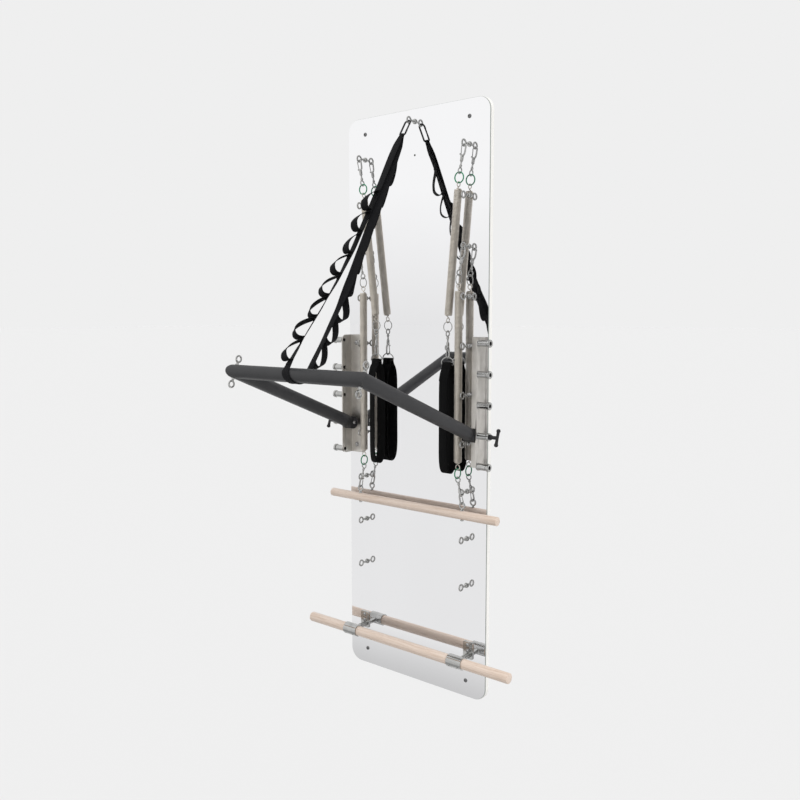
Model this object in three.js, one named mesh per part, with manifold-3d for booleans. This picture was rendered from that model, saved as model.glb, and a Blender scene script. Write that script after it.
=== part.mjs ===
import * as THREE from "three";
import Module from "manifold-3d";

const wasm = await Module();
wasm.setup();

// All lengths are millimetres and all angles degrees. While the tower is built, X runs along the wall,
// Y = 0 is the mirror's face with the room at negative Y, and Z = 0 is the panel's lower edge. addPart
// then moves every piece, so that the origin is the middle of the face that lies against the wall.

// Gap between two pieces that touch
const seat = 0.3;

// Panel: a backing board with a mirror glued on its face
const panelWidth = 610;
const panelHeight = 2000;
const panelCornerRadius = 45;
const panelCornerSteps = 4;
const boardThickness = 16;
const mirrorThickness = 3.7;
const mirrorInset = 1;
const panelDepth = boardThickness + seat + mirrorThickness;
const screwSideDistance = 81;
const screwEdgeDistance = 57;
const screwHoleRadius = 3.5;
const holeSides = 6;

// Eye bolts in two columns, with one more at the top in the middle
const eyeSideDistance = 80;
const eyeTopRowDrop = 145;
const eyeRowPitch = 162.4;
const eyeRowCount = 10;
const eyeRowsModelled = [1, 2, 3, 4, 8, 9, 10];
const topEyeDrop = 43;
const spareHoleDrop = 154;
const eyeReach = 32;
const eyeRingRadius = 10;
const eyeWireRadius = 3;
const eyeRingSteps = 8;
const eyeCollarRadius = 7;
const eyeCollarLength = 6;
const eyeStudRadius = 3.5;
const eyeStudDepth = 15;
const linkSides = 5;

// Gap between two linked wires where one hangs in the other
const linkGap = 0.3;

// Angle brackets that carry the push bar
const bracketEdgeInset = 8;
const bracketSteel = 4;
const bracketWebDepth = 54;
const bracketFlangeWidth = 54;
const bracketBottomDrop = 1198;
const bracketHeight = 434;
const bracketCornerRadius = 20;
const bracketCornerSteps = 3;
const bracketBoltRadius = 4;
const bracketBoltInset = 24;
const bracketBoltSpacing = 188;
const sleeveCount = 5;
const sleevePitch = 100;
const sleeveBottomInset = 15;
const sleeveReach = 43;
const sleeveRadius = 11;
const sleeveLength = 45;
const sleeveCollarRadius = 13;
const sleeveCollarLength = 8;
const sleeveSides = 10;
const pinRow = 1;

// Pull pins with a T handle
const pinRadius = 6;
const pinSides = 10;
const pinHandleReach = 73;
const pinHandleLength = 60;
const pinHandleRadius = 4.5;
const pinBallRadius = 7;
const pinHandleTilt = 17;
const pinDepthInPlug = 23;

// Push-through bar, a U of tube with a plug in each end
const pushTubeRadius = 22;
const pushTubeWall = 2;
const pushTubeSides = 16;
const pushArmLength = 571;
const pushRestRise = 22;
const pushArmToWebGap = 1.5;
const plugBarrelRadius = 23;
const plugNeckRadius = 21;
const plugNeckLength = 32;
const plugSpigotLength = 30;
const plugSides = 12;
const pushEyeOffset = 42;
const pushEyeShankRadius = 3.2;
const pushEyeCollarRadius = 6;
const pushEyeCollarLength = 5;

// Safety strap and its carabiner
const strapThickness = 2.6;
const strapWidth = 26;
const strapEndWidth = 10;
const strapFrontX = -18;
const strapBackX = 22;
const strapBarSteps = 12;
const strapEndSteps = 6;
const strapRunSteps = 10;
const strapFlareShare = 0.15;
const carabinerLength = 62;
const carabinerHalfWidth = 11;
const carabinerWireRadius = 3;
const carabinerSides = 6;
const carabinerCornerRadius = 5;
const carabinerArcSteps = 8;
const carabinerCornerSteps = 3;
const gateTop = 16;
const gateBottom = 44;
const gateRadius = 2.6;
const gateTipRadius = 0.8;
const gateTipLength = 3;

// Snap hooks and link rings
const hookSpan = 75;
const hookLoopRadius = 8;
const hookLoopStraight = 28;
const hookWireRadius = 2.2;
const hookEyeRadius = 9;
const hookBarrelRadius = 5;
const hookBarrelStart = 34;
const hookBarrelLength = 14;
const hookNeckRadius = 2.6;
const hookLoopSteps = 5;
const hookEyeSteps = 8;
const ringRadius = 17;
const ringSteps = 12;
const greenRingWire = 1.8;
const plainRingWire = 1.5;

// Extension springs: the modelled curls stand for closely wound coils
const springRadius = 11.9;
const springWireRadius = 1.6;
const springLoopRadius = 8;
const springLoopToCoil = 18;
const springStepsPerCurl = 8;
const springCheckSteps = 32;
const springLoopSteps = 8;
const springLoopStart = -150;
const springLoopEnd = 130;
const armSpringSpan = 439;
const armSpringCurls = 11;
const rollSpringSpan = 598;
const rollSpringCurls = 14;

// Hang of the spring units: the upper hooks lean inwards, so that the springs pass beside the eye bolts
const topHookLean = 11;
const armSpringLeanLeft = 7.3;
const armSpringLeanRight = 5.2;
const rollHookLean = 12.5;

// Handles on their D rings
const dRingWire = 2;
const dRingHalfWidth = 25;
const dRingHeight = 24;
const dRingArchSteps = 8;
const handleLength = 364;
const handleHalfDepth = 24;
const handleWidth = 37;
const handleThickness = 6;
const handleWrapSteps = 4;
const handleDepthShares = [0.33, 0.67, 0.92, 1, 1, 1, 0.83, 0.46];
const handleDropShares = [0.035, 0.08, 0.15, 0.28, 0.58, 0.83, 0.935, 0.985];

// Roll-down bar
const rollBarRadius = 15;
const rollBarOverhang = 63;
const rollBarSides = 16;
const rollBarEdge = 2;
const rollEyeRise = 32;
const rollEyeNutRadius = 6;
const rollEyeNutLength = 5;

// Foot bar and its two holders
const footBarRadius = 17.5;
const footBarOverhang = 139;
const footBarZ = 150;
const footBarReach = 72;
const footBarSides = 16;
const footBarEdge = 2;
const holderSideDistance = 70;
const holderSleeveLength = 60;
const holderSleeveWall = 3.7;
const holderSleeveSides = 16;
const holderSeamWidth = 3;
const holderSeamTilt = 50;
const holderStemRadius = 9;
const holderPlateWidth = 40;
const holderPlateThickness = 4;
const holderPlateBottomZ = 138;
const holderPlateHeight = 61;
const holderBoltZs = [188, 166];
const holderBoltRadius = 3.5;

// Directions
const right = new THREE.Vector3(1, 0, 0);
const intoWall = new THREE.Vector3(0, 1, 0);
const up = new THREE.Vector3(0, 0, 1);
const down = new THREE.Vector3(0, 0, -1);

// Colours
const steelColor = 0xc0c3c6;
const greenColor = 0x3f8f4e;
const blackColor = 0x1c1c1e;
const mapleColor = 0xd3b897;

const radians = THREE.MathUtils.degToRad;

function point(x, y, z) {
  return new THREE.Vector3(x, y, z);
}

// The point a given distance from a start along a direction
function along(start, direction, distance) {
  return start.clone().addScaledVector(direction, distance);
}

// Two directions square to the given one and to each other
function acrossFrame(direction) {
  const guide = Math.abs(direction.z) > 0.9 ? right : up;
  const first = guide.clone().cross(direction).normalize();
  const second = direction.clone().cross(first).normalize();
  return [first, second];
}

// Points round a circle. A phase of 0 puts the first point on the first direction.
function circle(centre, first, second, radius, sides, phase = 0) {
  const points = [];
  for (let i = 0; i < sides; i += 1) {
    const angle = ((i + phase) / sides) * 2 * Math.PI;
    const onFirst = along(centre, first, radius * Math.cos(angle));
    points.push(along(onFirst, second, radius * Math.sin(angle)));
  }
  return points;
}

// Volume inside the triangles, negative where they face inwards
function signedVolume(points, triangles) {
  let volume = 0;
  for (let i = 0; i < triangles.length; i += 3) {
    const [a, b, c] = triangles.slice(i, i + 3).map((index) => points[index]);
    volume += a.dot(b.clone().cross(c)) / 6;
  }
  return volume;
}

function solidFromTriangles(points, triangles) {
  const outward = signedVolume(points, triangles) > 0;
  const corners = outward ? triangles : triangles.slice().reverse();
  const vertProperties = new Float32Array(points.flatMap((p) => [p.x, p.y, p.z]));
  const triVerts = new Uint32Array(corners);
  return new wasm.Manifold(new wasm.Mesh({ numProp: 3, vertProperties, triVerts }));
}

// A solid skinned over a row of rings with equal point counts. A closed row joins its last ring to the
// first, and an open one is capped with fans.
function skin(rings, closed = false) {
  const sides = rings[0].length;
  const spans = closed ? rings.length : rings.length - 1;
  const triangles = [];
  for (let i = 0; i < spans; i += 1) {
    const here = i * sides;
    const next = ((i + 1) % rings.length) * sides;
    for (let j = 0; j < sides; j += 1) {
      const k = (j + 1) % sides;
      triangles.push(here + j, here + k, next + k);
      triangles.push(here + j, next + k, next + j);
    }
  }
  if (!closed) {
    const last = (rings.length - 1) * sides;
    for (let j = 1; j < sides - 1; j += 1) {
      triangles.push(0, j + 1, j);
      triangles.push(last, last + j, last + j + 1);
    }
  }
  return solidFromTriangles(rings.flat(), triangles);
}

// A turned solid: profile pairs of radius and distance along an axis
function turned(start, direction, profile, sides, closed = false) {
  const [first, second] = acrossFrame(direction);
  const ringAt = ([radius, distance]) =>
    circle(along(start, direction, distance), first, second, radius, sides);
  return skin(profile.map(ringAt), closed);
}

function rod(start, end, radius, sides) {
  const direction = end.clone().sub(start);
  const length = direction.length();
  return turned(start, direction.normalize(), [[radius, 0], [radius, length]], sides);
}

function box(low, high) {
  const ringAt = (z) => [
    point(low.x, low.y, z),
    point(high.x, low.y, z),
    point(high.x, high.y, z),
    point(low.x, high.y, z),
  ];
  return skin([ringAt(low.z), ringAt(high.z)]);
}

// Direction of the path at each of its points
function pathTangents(points, closed) {
  const count = points.length;
  return points.map((_, i) => {
    const before = closed ? points[(i + count - 1) % count] : points[Math.max(i - 1, 0)];
    const after = closed ? points[(i + 1) % count] : points[Math.min(i + 1, count - 1)];
    return after.clone().sub(before).normalize();
  });
}

// A round wire along a path. Its rings are carried on without twist from a corner that faces inwards.
function wire(points, inwards, radius, sides, closed = false) {
  const tangents = pathTangents(points, closed);
  const skew = inwards.dot(tangents[0]);
  let first = along(inwards, tangents[0], -skew).normalize();
  const rings = points.map((centre, i) => {
    const turn = new THREE.Quaternion();
    turn.setFromUnitVectors(tangents[Math.max(i - 1, 0)], tangents[i]);
    first = first.clone().applyQuaternion(turn);
    const second = tangents[i].clone().cross(first).normalize();
    return circle(centre, first, second, radius, sides);
  });
  return skin(rings, closed);
}

// A closed wire ring that lies square to the given normal. The middles of two of its flats lie on the
// hanging direction, at the true radius.
function wireRing(centre, normal, hanging, radius, wireRadius, steps) {
  const sideways = normal.clone().cross(hanging).normalize();
  const cornerRadius = radius / Math.cos(Math.PI / steps);
  const points = circle(centre, hanging, sideways, cornerRadius, steps, 0.5);
  const inwards = centre.clone().sub(points[0]).normalize();
  return wire(points, inwards, wireRadius, linkSides, true);
}

// A flat band along a closed path, as wide along X as the widths say
function band(points, widths, thickness) {
  const tangents = pathTangents(points, true);
  const rings = points.map((centre, i) => {
    const outward = point(0, -tangents[i].z, tangents[i].y).normalize();
    const corner = (side, face) =>
      along(along(centre, right, (side * widths[i]) / 2), outward, (face * thickness) / 2);
    return [corner(-1, -1), corner(1, -1), corner(1, 1), corner(-1, 1)];
  });
  return skin(rings, true);
}

function unite(...solids) {
  return solids.reduce((all, solid) => all.add(solid));
}

function cut(solid, ...tools) {
  return tools.reduce((rest, tool) => rest.subtract(tool), solid);
}

// The same solid on the other side of the tower's middle
function mirrored(solid) {
  return solid.mirror([1, 0, 0]);
}

const tower = new THREE.Group();

function addPart(name, solid, color) {
  const placed = solid.translate([0, -panelDepth, -panelHeight / 2]);
  const { numProp, vertProperties, triVerts } = placed.getMesh();
  const positions = [];
  for (let i = 0; i < vertProperties.length; i += numProp) {
    positions.push(...vertProperties.slice(i, i + 3));
  }
  const geometry = new THREE.BufferGeometry();
  geometry.setAttribute("position", new THREE.Float32BufferAttribute(positions, 3));
  geometry.setIndex([...triVerts]);
  const material = new THREE.MeshStandardMaterial({ color });
  const mesh = new THREE.Mesh(geometry, material);
  mesh.name = name;
  tower.add(mesh);
}

// Panel

function roundedOutline(width, height, y) {
  const points = [];
  const radius = panelCornerRadius;
  const corners = [[1, 1], [-1, 1], [-1, -1], [1, -1]];
  corners.forEach(([sideX, sideZ], quarter) => {
    const centreX = sideX * (width / 2 - radius);
    const centreZ = panelHeight / 2 + sideZ * (height / 2 - radius);
    for (let step = 0; step <= panelCornerSteps; step += 1) {
      const angle = (quarter + step / panelCornerSteps) * (Math.PI / 2);
      const x = centreX + radius * Math.cos(angle);
      points.push(point(x, y, centreZ + radius * Math.sin(angle)));
    }
  });
  return points;
}

function sheet(width, height, frontY, backY) {
  return skin([roundedOutline(width, height, frontY), roundedOutline(width, height, backY)]);
}

// Places along the wall and heights that follow from the panel's own size
const panelHalfWidth = panelWidth / 2;
const screwColumnX = panelHalfWidth - screwSideDistance;
const eyeColumnX = panelHalfWidth - eyeSideDistance;
const eyeTopRowZ = panelHeight - eyeTopRowDrop;
const topEyeZ = panelHeight - topEyeDrop;
const spareHoleZ = panelHeight - spareHoleDrop;
const holderX = panelHalfWidth - holderSideDistance;
const rollBarLength = panelWidth + 2 * rollBarOverhang;
const footBarLength = panelWidth + 2 * footBarOverhang;
const bracketOuterX = panelHalfWidth - bracketEdgeInset;
const pinHandleX = bracketOuterX + pinHandleReach;
const bracketBottomZ = panelHeight - bracketBottomDrop;
const sleeveBottomZ = bracketBottomZ + sleeveBottomInset;
const bracketBoltX = bracketOuterX - bracketBoltInset - bracketSteel;
const bracketMiddleZ = bracketBottomZ + bracketHeight / 2;

function eyeRowZ(row) {
  return eyeTopRowZ - (row - 1) * eyeRowPitch;
}

function bracketBoltZs() {
  return [-1, 0, 1].map((step) => bracketMiddleZ + step * bracketBoltSpacing);
}

// Blind holes that take the studs of the eye bolts
function studHoles() {
  const places = [[0, topEyeZ], [0, spareHoleZ]];
  for (let row = 1; row <= eyeRowCount; row += 1) {
    places.push([-eyeColumnX, eyeRowZ(row)], [eyeColumnX, eyeRowZ(row)]);
  }
  const depth = eyeStudDepth + seat;
  return places.map(([x, z]) =>
    rod(point(x, -seat, z), point(x, depth, z), eyeStudRadius + seat, holeSides));
}

function throughHole(x, z, radius) {
  const behind = panelDepth + boardThickness;
  return rod(point(x, -boardThickness, z), point(x, behind, z), radius, holeSides);
}

// Holes right through the panel for the wall screws, the bracket bolts and the holder bolts
function panelBoltHoles() {
  const holes = [];
  for (const side of [-1, 1]) {
    for (const z of [screwEdgeDistance, panelHeight - screwEdgeDistance]) {
      holes.push(throughHole(side * screwColumnX, z, screwHoleRadius));
    }
    for (const z of bracketBoltZs()) {
      holes.push(throughHole(side * bracketBoltX, z, bracketBoltRadius));
    }
    for (const z of holderBoltZs) {
      holes.push(throughHole(side * holderX, z, holderBoltRadius));
    }
  }
  return holes;
}

function backingBoard() {
  const board = sheet(panelWidth, panelHeight, mirrorThickness + seat, panelDepth);
  return cut(board, ...studHoles(), ...panelBoltHoles());
}

function mirrorPanel() {
  const width = panelWidth - 2 * mirrorInset;
  const height = panelHeight - 2 * mirrorInset;
  return cut(sheet(width, height, 0, mirrorThickness), ...studHoles(), ...panelBoltHoles());
}

// Eye bolts

function eyeCentre(x, z) {
  return point(x, -eyeReach, z);
}

function wallEye(x, z) {
  const centre = eyeCentre(x, z);
  const ring = wireRing(centre, right, down, eyeRingRadius, eyeWireRadius, eyeRingSteps);
  const collarEnd = -seat - eyeCollarLength;
  const shankStart = point(x, eyeRingRadius - eyeReach, z);
  const shank = rod(shankStart, point(x, collarEnd + seat, z), eyeWireRadius, holeSides);
  const collar = rod(point(x, collarEnd, z), point(x, -seat, z), eyeCollarRadius, holeSides);
  const stud = rod(point(x, -2 * seat, z), point(x, eyeStudDepth, z), eyeStudRadius, holeSides);
  return unite(ring, shank, collar, stud);
}

// Brackets, drawn for the right side

function pinRowZ(row) {
  return sleeveBottomZ + row * sleevePitch;
}

function webOutline(x) {
  const radius = bracketCornerRadius;
  const frontY = -bracketWebDepth;
  const topZ = bracketBottomZ + bracketHeight;
  const points = [point(x, -seat, topZ), point(x, -seat, bracketBottomZ)];
  for (const [centreZ, start] of [[bracketBottomZ + radius, -90], [topZ - radius, 0]]) {
    for (let step = 0; step <= bracketCornerSteps; step += 1) {
      const angle = radians(start + (90 * step) / bracketCornerSteps);
      const y = frontY + radius - radius * Math.cos(angle);
      points.push(point(x, y, centreZ + radius * Math.sin(angle)));
    }
  }
  return points;
}

function pinSleeve(z) {
  const bore = pinRadius + seat;
  const overlap = bracketSteel / 2;
  const collarStart = sleeveLength - sleeveCollarLength;
  const profile = [
    [bore, -overlap],
    [sleeveRadius, -overlap],
    [sleeveRadius, collarStart],
    [sleeveCollarRadius, collarStart],
    [sleeveCollarRadius, sleeveLength],
    [bore, sleeveLength],
  ];
  return turned(point(bracketOuterX, -sleeveReach, z), right, profile, sleeveSides, true);
}

function bracket() {
  const web = skin([webOutline(bracketOuterX - bracketSteel), webOutline(bracketOuterX)]);
  const low = point(bracketOuterX - bracketFlangeWidth, -seat - bracketSteel, bracketBottomZ);
  const high = point(bracketOuterX, -seat, bracketBottomZ + bracketHeight);
  const boltHoles = bracketBoltZs().map((z) => throughHole(bracketBoltX, z, bracketBoltRadius));
  let angle = cut(unite(web, box(low, high)), ...boltHoles);
  for (let row = 0; row < sleeveCount; row += 1) {
    const z = pinRowZ(row);
    const inner = point(bracketOuterX - 2 * bracketSteel, -sleeveReach, z);
    const outer = point(bracketOuterX + bracketSteel, -sleeveReach, z);
    const webHole = rod(inner, outer, pinRadius + seat, sleeveSides);
    angle = unite(cut(angle, webHole), pinSleeve(z));
  }
  return angle;
}

// Push-through bar. Its own plane is level here, and riseToRest lifts it about the pin to its rest angle.

const pivot = point(0, -sleeveReach, pinRowZ(pinRow));
const pushArmX = bracketOuterX - bracketSteel - pushArmToWebGap - pushTubeRadius;

function riseToRest(solid) {
  const lift = new THREE.Matrix4().makeRotationX(radians(-pushRestRise));
  const there = new THREE.Matrix4().makeTranslation(pivot);
  return solid.transform(there.multiply(lift).elements);
}

// One run of round bar bent in a U with mitred corners
function pushRun(radius, startY) {
  const cornerY = -pushArmLength;
  const ringAt = (x, y, sideways, forwards) => {
    const points = [];
    for (let i = 0; i < pushTubeSides; i += 1) {
      const angle = ((i + 0.5) / pushTubeSides) * 2 * Math.PI;
      const across = radius * Math.cos(angle);
      points.push(point(x + across * sideways, y + across * forwards, radius * Math.sin(angle)));
    }
    return points;
  };
  return skin([
    ringAt(-pushArmX, startY, 1, 0),
    ringAt(-pushArmX, cornerY, 1, 1),
    ringAt(pushArmX, cornerY, -1, 1),
    ringAt(pushArmX, startY, -1, 0),
  ]);
}

function pushBar() {
  const startY = -plugNeckLength;
  const outside = pushRun(pushTubeRadius, startY);
  const inside = pushRun(pushTubeRadius - pushTubeWall, startY + pushTubeRadius);
  const shankHoles = [-1, 1].map((side) => {
    const low = point(side * pushArmX, -pushArmLength, -2 * pushTubeRadius);
    const high = point(side * pushArmX, -pushArmLength, 2 * pushTubeRadius);
    return rod(low, high, pushEyeShankRadius + seat, holeSides);
  });
  return riseToRest(cut(outside, inside, ...shankHoles));
}

function pushBarEnd() {
  const barrelHalf = pushTubeRadius;
  const barrelStart = point(pushArmX - barrelHalf, 0, 0);
  const barrelEnd = point(pushArmX + barrelHalf, 0, 0);
  const barrel = rod(barrelStart, barrelEnd, plugBarrelRadius, plugSides);
  const neckEnd = plugNeckLength - seat;
  const flatRadius = (pushTubeRadius - pushTubeWall) * Math.cos(Math.PI / pushTubeSides);
  const spigotRadius = flatRadius - seat;
  const neckProfile = [
    [plugNeckRadius, 0],
    [plugNeckRadius, neckEnd],
    [spigotRadius, neckEnd],
    [spigotRadius, neckEnd + plugSpigotLength],
  ];
  const neck = turned(point(pushArmX, 0, 0), intoWall.clone().negate(), neckProfile, pushTubeSides);
  const boreEnd = point(barrelEnd.x - pinDepthInPlug - seat, 0, 0);
  const boreRadius = (pinRadius + seat) / Math.cos(Math.PI / pinSides);
  const bore = rod(boreEnd, along(barrelEnd, right, seat), boreRadius, pinSides);
  return riseToRest(cut(unite(barrel, neck), bore));
}

function pushBarEye() {
  const centre = point(pushArmX, -pushArmLength, 0);
  const pieces = [up, down].map((direction) => {
    const ringCentre = along(centre, direction, pushEyeOffset);
    const ring = wireRing(
      ringCentre,
      right,
      direction,
      eyeRingRadius,
      eyeWireRadius,
      eyeRingSteps,
    );
    const shankEnd = along(ringCentre, direction, -eyeRingRadius);
    const shank = rod(along(centre, direction, -seat), shankEnd, pushEyeShankRadius, holeSides);
    const collarStart = along(centre, direction, pushTubeRadius + seat);
    const collarEnd = along(collarStart, direction, pushEyeCollarLength);
    const collar = rod(collarStart, collarEnd, pushEyeCollarRadius, holeSides);
    return unite(ring, shank, collar);
  });
  return riseToRest(unite(...pieces));
}

function pullPin() {
  const tipX = pushArmX + pushTubeRadius - pinDepthInPlug;
  const stemEnd = point(pinHandleX, pivot.y, pivot.z);
  const stem = rod(point(tipX, pivot.y, pivot.z), stemEnd, pinRadius, pinSides);
  const tilt = radians(pinHandleTilt);
  const handleDirection = point(0, Math.sin(tilt), Math.cos(tilt));
  const half = pinHandleLength / 2 - pinBallRadius;
  const ballTurn = pinBallRadius * Math.SQRT1_2;
  const ball = [
    [pinHandleRadius, -ballTurn],
    [pinBallRadius, 0],
    [ballTurn, ballTurn],
    [pinHandleRadius / 2, pinBallRadius],
  ];
  const halves = [handleDirection, handleDirection.clone().negate()].map((direction) => {
    const grip = [[pinHandleRadius, -seat], [pinHandleRadius, half - ballTurn]];
    const end = ball.map(([radius, distance]) => [radius, half + distance]);
    return turned(stemEnd, direction, [...grip, ...end.slice(1)], pinSides);
  });
  return unite(stem, ...halves);
}

// Safety strap and carabiner: both lie in a sloping plane that holds the top eye and the crossbar

const topEye = eyeCentre(0, topEyeZ);
const rise = radians(pushRestRise);
const crossbar = point(
  0,
  pivot.y - pushArmLength * Math.cos(rise),
  pivot.z + pushArmLength * Math.sin(rise),
);
const strapDirection = crossbar.clone().sub(topEye).normalize();
const strapFront = point(0, strapDirection.z, -strapDirection.y);
const carabinerTop = eyeRingRadius - eyeWireRadius - carabinerWireRadius - linkGap;
const carabinerFoot = along(topEye, strapDirection, carabinerTop + carabinerLength);

// A point of the carabiner's outline: sideways from its middle, and down from the top wire
function carabinerPoint(sideways, drop) {
  return along(along(topEye, strapDirection, carabinerTop + drop), right, sideways);
}

function carabinerArc(centreX, centreDrop, radius, start, end, steps) {
  const points = [];
  for (let step = 0; step <= steps; step += 1) {
    const angle = radians(start + ((end - start) * step) / steps);
    const sideways = centreX + radius * Math.cos(angle);
    points.push(carabinerPoint(sideways, centreDrop - radius * Math.sin(angle)));
  }
  return points;
}

function carabiner() {
  const half = carabinerHalfWidth;
  const corner = carabinerCornerRadius;
  const cornerX = half - corner;
  const cornerDrop = carabinerLength - corner;
  const path = [
    carabinerPoint(half, gateBottom),
    ...carabinerArc(cornerX, cornerDrop, corner, 0, -90, carabinerCornerSteps),
    ...carabinerArc(-cornerX, cornerDrop, corner, -90, -180, carabinerCornerSteps),
    ...carabinerArc(0, half, half, 180, 0, carabinerArcSteps),
    carabinerPoint(half, gateTop),
  ];
  return wire(path, right.clone().negate(), carabinerWireRadius, carabinerSides);
}

function carabinerGate() {
  const start = carabinerPoint(carabinerHalfWidth, gateBottom - seat);
  const length = gateBottom - gateTop - 2 * seat;
  const profile = [[gateTipRadius, 0], [gateRadius, gateTipLength], [gateRadius, length]];
  return turned(start, strapDirection.clone().negate(), profile, carabinerSides);
}

// Half a turn of the strap about an X axis, from one face of its plane to the other
function strapTurn(centre, radius, steps, startSide) {
  const points = [];
  for (let step = 0; step <= steps; step += 1) {
    const angle = (step / steps) * Math.PI;
    const frontShare = startSide * Math.cos(angle);
    const outShare = startSide * Math.sin(angle);
    const onFront = along(centre, strapFront, radius * frontShare);
    points.push(along(onFront, strapDirection, radius * outShare));
  }
  return points;
}

// Middle-line radius of a band that goes half round a core in the given steps
function turnRadius(coreRadius, steps, thickness) {
  return (coreRadius + seat) / Math.cos(Math.PI / steps / 2) + thickness / 2;
}

function safetyStrap() {
  const barRadius = turnRadius(pushTubeRadius, strapBarSteps, strapThickness);
  const endRadius = turnRadius(carabinerWireRadius, strapEndSteps, strapThickness);
  const barTurn = strapTurn(crossbar, barRadius, strapBarSteps, 1);
  const endTurn = strapTurn(carabinerFoot, endRadius, strapEndSteps, -1);
  const points = [];
  const widths = [];
  const add = (place, sideways, share) => {
    points.push(along(place, right, sideways));
    const flare = Math.min(share / strapFlareShare, 1);
    widths.push(strapEndWidth + (strapWidth - strapEndWidth) * flare);
  };
  barTurn.forEach((place, i) => {
    const share = i / strapBarSteps;
    add(place, strapFrontX + (strapBackX - strapFrontX) * share, 1);
  });
  const run = (from, to, fromX, toX, fromShare, toShare) => {
    for (let step = 1; step < strapRunSteps; step += 1) {
      const share = step / strapRunSteps;
      const sideways = fromX + (toX - fromX) * share;
      add(from.clone().lerp(to, share), sideways, fromShare + (toShare - fromShare) * share);
    }
  };
  run(barTurn[strapBarSteps], endTurn[0], strapBackX, 0, 1, 0);
  endTurn.forEach((place) => add(place, 0, 0));
  run(endTurn[strapEndSteps], barTurn[0], 0, strapFrontX, 0, 1);
  return band(points, widths, strapThickness);
}

// Links: each is a round of wire with a middle, a direction in which it hangs, and two radii

// The link that hangs in the far end of an upper one
function hang(upper, direction, radius, wireRadius) {
  const contact = along(upper.centre, upper.direction, upper.radius);
  const reach = radius - upper.wireRadius - wireRadius - linkGap;
  return { centre: along(contact, direction, reach), direction, radius, wireRadius };
}

// The link at the other end of the same stiff piece
function farLink(near, span, radius) {
  return { ...near, centre: along(near.centre, near.direction, span), radius };
}

function eyeLink(x, z) {
  const centre = eyeCentre(x, z);
  return { centre, direction: down, radius: eyeRingRadius, wireRadius: eyeWireRadius };
}

// Downwards, leaning sideways by an angle towards +X
function leaning(angle) {
  return point(Math.sin(radians(angle)), 0, -Math.cos(radians(angle)));
}

// Square to a hanging direction, along the wall
function acrossWall(direction) {
  return intoWall.clone().cross(direction).normalize();
}

function hangingRing(link, normal) {
  return wireRing(link.centre, normal, link.direction, link.radius, link.wireRadius, ringSteps);
}

// A snap hook from the middle of its loop's round end to the middle of its swivel eye
function snapHook(loopCentre, direction, loopNormal, eyeNormal) {
  const sideways = loopNormal.clone().cross(direction).normalize();
  const cornerRadius = hookLoopRadius / Math.cos(Math.PI / hookLoopSteps / 2);
  const loop = [];
  for (const [centreDistance, start] of [[0, 0], [hookLoopStraight, 180]]) {
    const centre = along(loopCentre, direction, centreDistance);
    for (let step = 0; step <= hookLoopSteps; step += 1) {
      const angle = radians(start + (180 * step) / hookLoopSteps);
      const side = along(centre, sideways, cornerRadius * Math.cos(angle));
      loop.push(along(side, direction, -cornerRadius * Math.sin(angle)));
    }
  }
  const eyeMiddle = along(loopCentre, direction, hookSpan);
  const barrelEnd = hookBarrelStart + hookBarrelLength;
  const barrelProfile = [
    [hookBarrelRadius, hookBarrelStart],
    [hookBarrelRadius, barrelEnd],
    [hookNeckRadius, barrelEnd],
    [hookNeckRadius, hookSpan - hookEyeRadius],
  ];
  return unite(
    wire(loop, sideways.clone().negate(), hookWireRadius, linkSides, true),
    turned(loopCentre, direction, barrelProfile, holeSides),
    wireRing(eyeMiddle, eyeNormal, direction, hookEyeRadius, hookWireRadius, hookEyeSteps),
  );
}

// The upper half of a spring's path, from the loose end of its loop to the start of the coil
function springEndPath() {
  const points = [];
  const loopPoint = (angle) => point(
    0,
    springLoopRadius * Math.sin(radians(angle)),
    springLoopRadius * Math.cos(radians(angle)),
  );
  const firstPoint = loopPoint(springLoopStart);
  const back = loopPoint(springLoopStart - 90).normalize();
  points.push(along(firstPoint, back, 2 * springWireRadius));
  for (let step = 0; step <= springLoopSteps; step += 1) {
    const share = step / springLoopSteps;
    points.push(loopPoint(springLoopStart + (springLoopEnd - springLoopStart) * share));
  }
  points.push(point(0, 0, -springLoopRadius - 2 * springWireRadius));
  return points;
}

function springPath(span, curls, stepsPerCurl) {
  const start = springEndPath();
  const steps = curls * stepsPerCurl;
  const coilLength = span - 2 * springLoopToCoil;
  const coil = [];
  for (let step = 0; step <= steps; step += 1) {
    const angle = (step / stepsPerCurl) * 2 * Math.PI;
    const drop = springLoopToCoil + (coilLength * step) / steps;
    coil.push(point(springRadius * Math.sin(angle), -springRadius * Math.cos(angle), -drop));
  }
  const end = start.map((p) => point(p.x, p.y, -span - p.z)).reverse();
  return [...start, ...coil, ...end];
}

// Least gap of the spring's wire to itself, measured between points at least half a curl apart
function leastSelfGap(span, curls) {
  const points = springPath(span, curls, springCheckSteps);
  const apart = springCheckSteps / 2;
  let least = Infinity;
  for (let i = 0; i < points.length; i += 1) {
    for (let j = i + apart; j < points.length; j += 1) {
      least = Math.min(least, points[i].distanceTo(points[j]));
    }
  }
  return least - 2 * springWireRadius;
}

// A spring between the middles of its two end loops, with the loops' flat faces towards loopNormal
function spring(upperCentre, direction, loopNormal, span, curls) {
  const across = loopNormal.clone().cross(direction).normalize();
  const facing = direction.clone().cross(across).normalize();
  const axes = new THREE.Matrix4().makeBasis(facing, across, direction.clone().negate());
  const turn = new THREE.Quaternion().setFromRotationMatrix(axes);
  const path = springPath(span, curls, springStepsPerCurl);
  const points = path.map((p) => p.applyQuaternion(turn).add(upperCentre));
  const inwards = upperCentre.clone().sub(points[1]).normalize();
  return wire(points, inwards, springWireRadius, linkSides);
}

// Handles on their D rings

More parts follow.
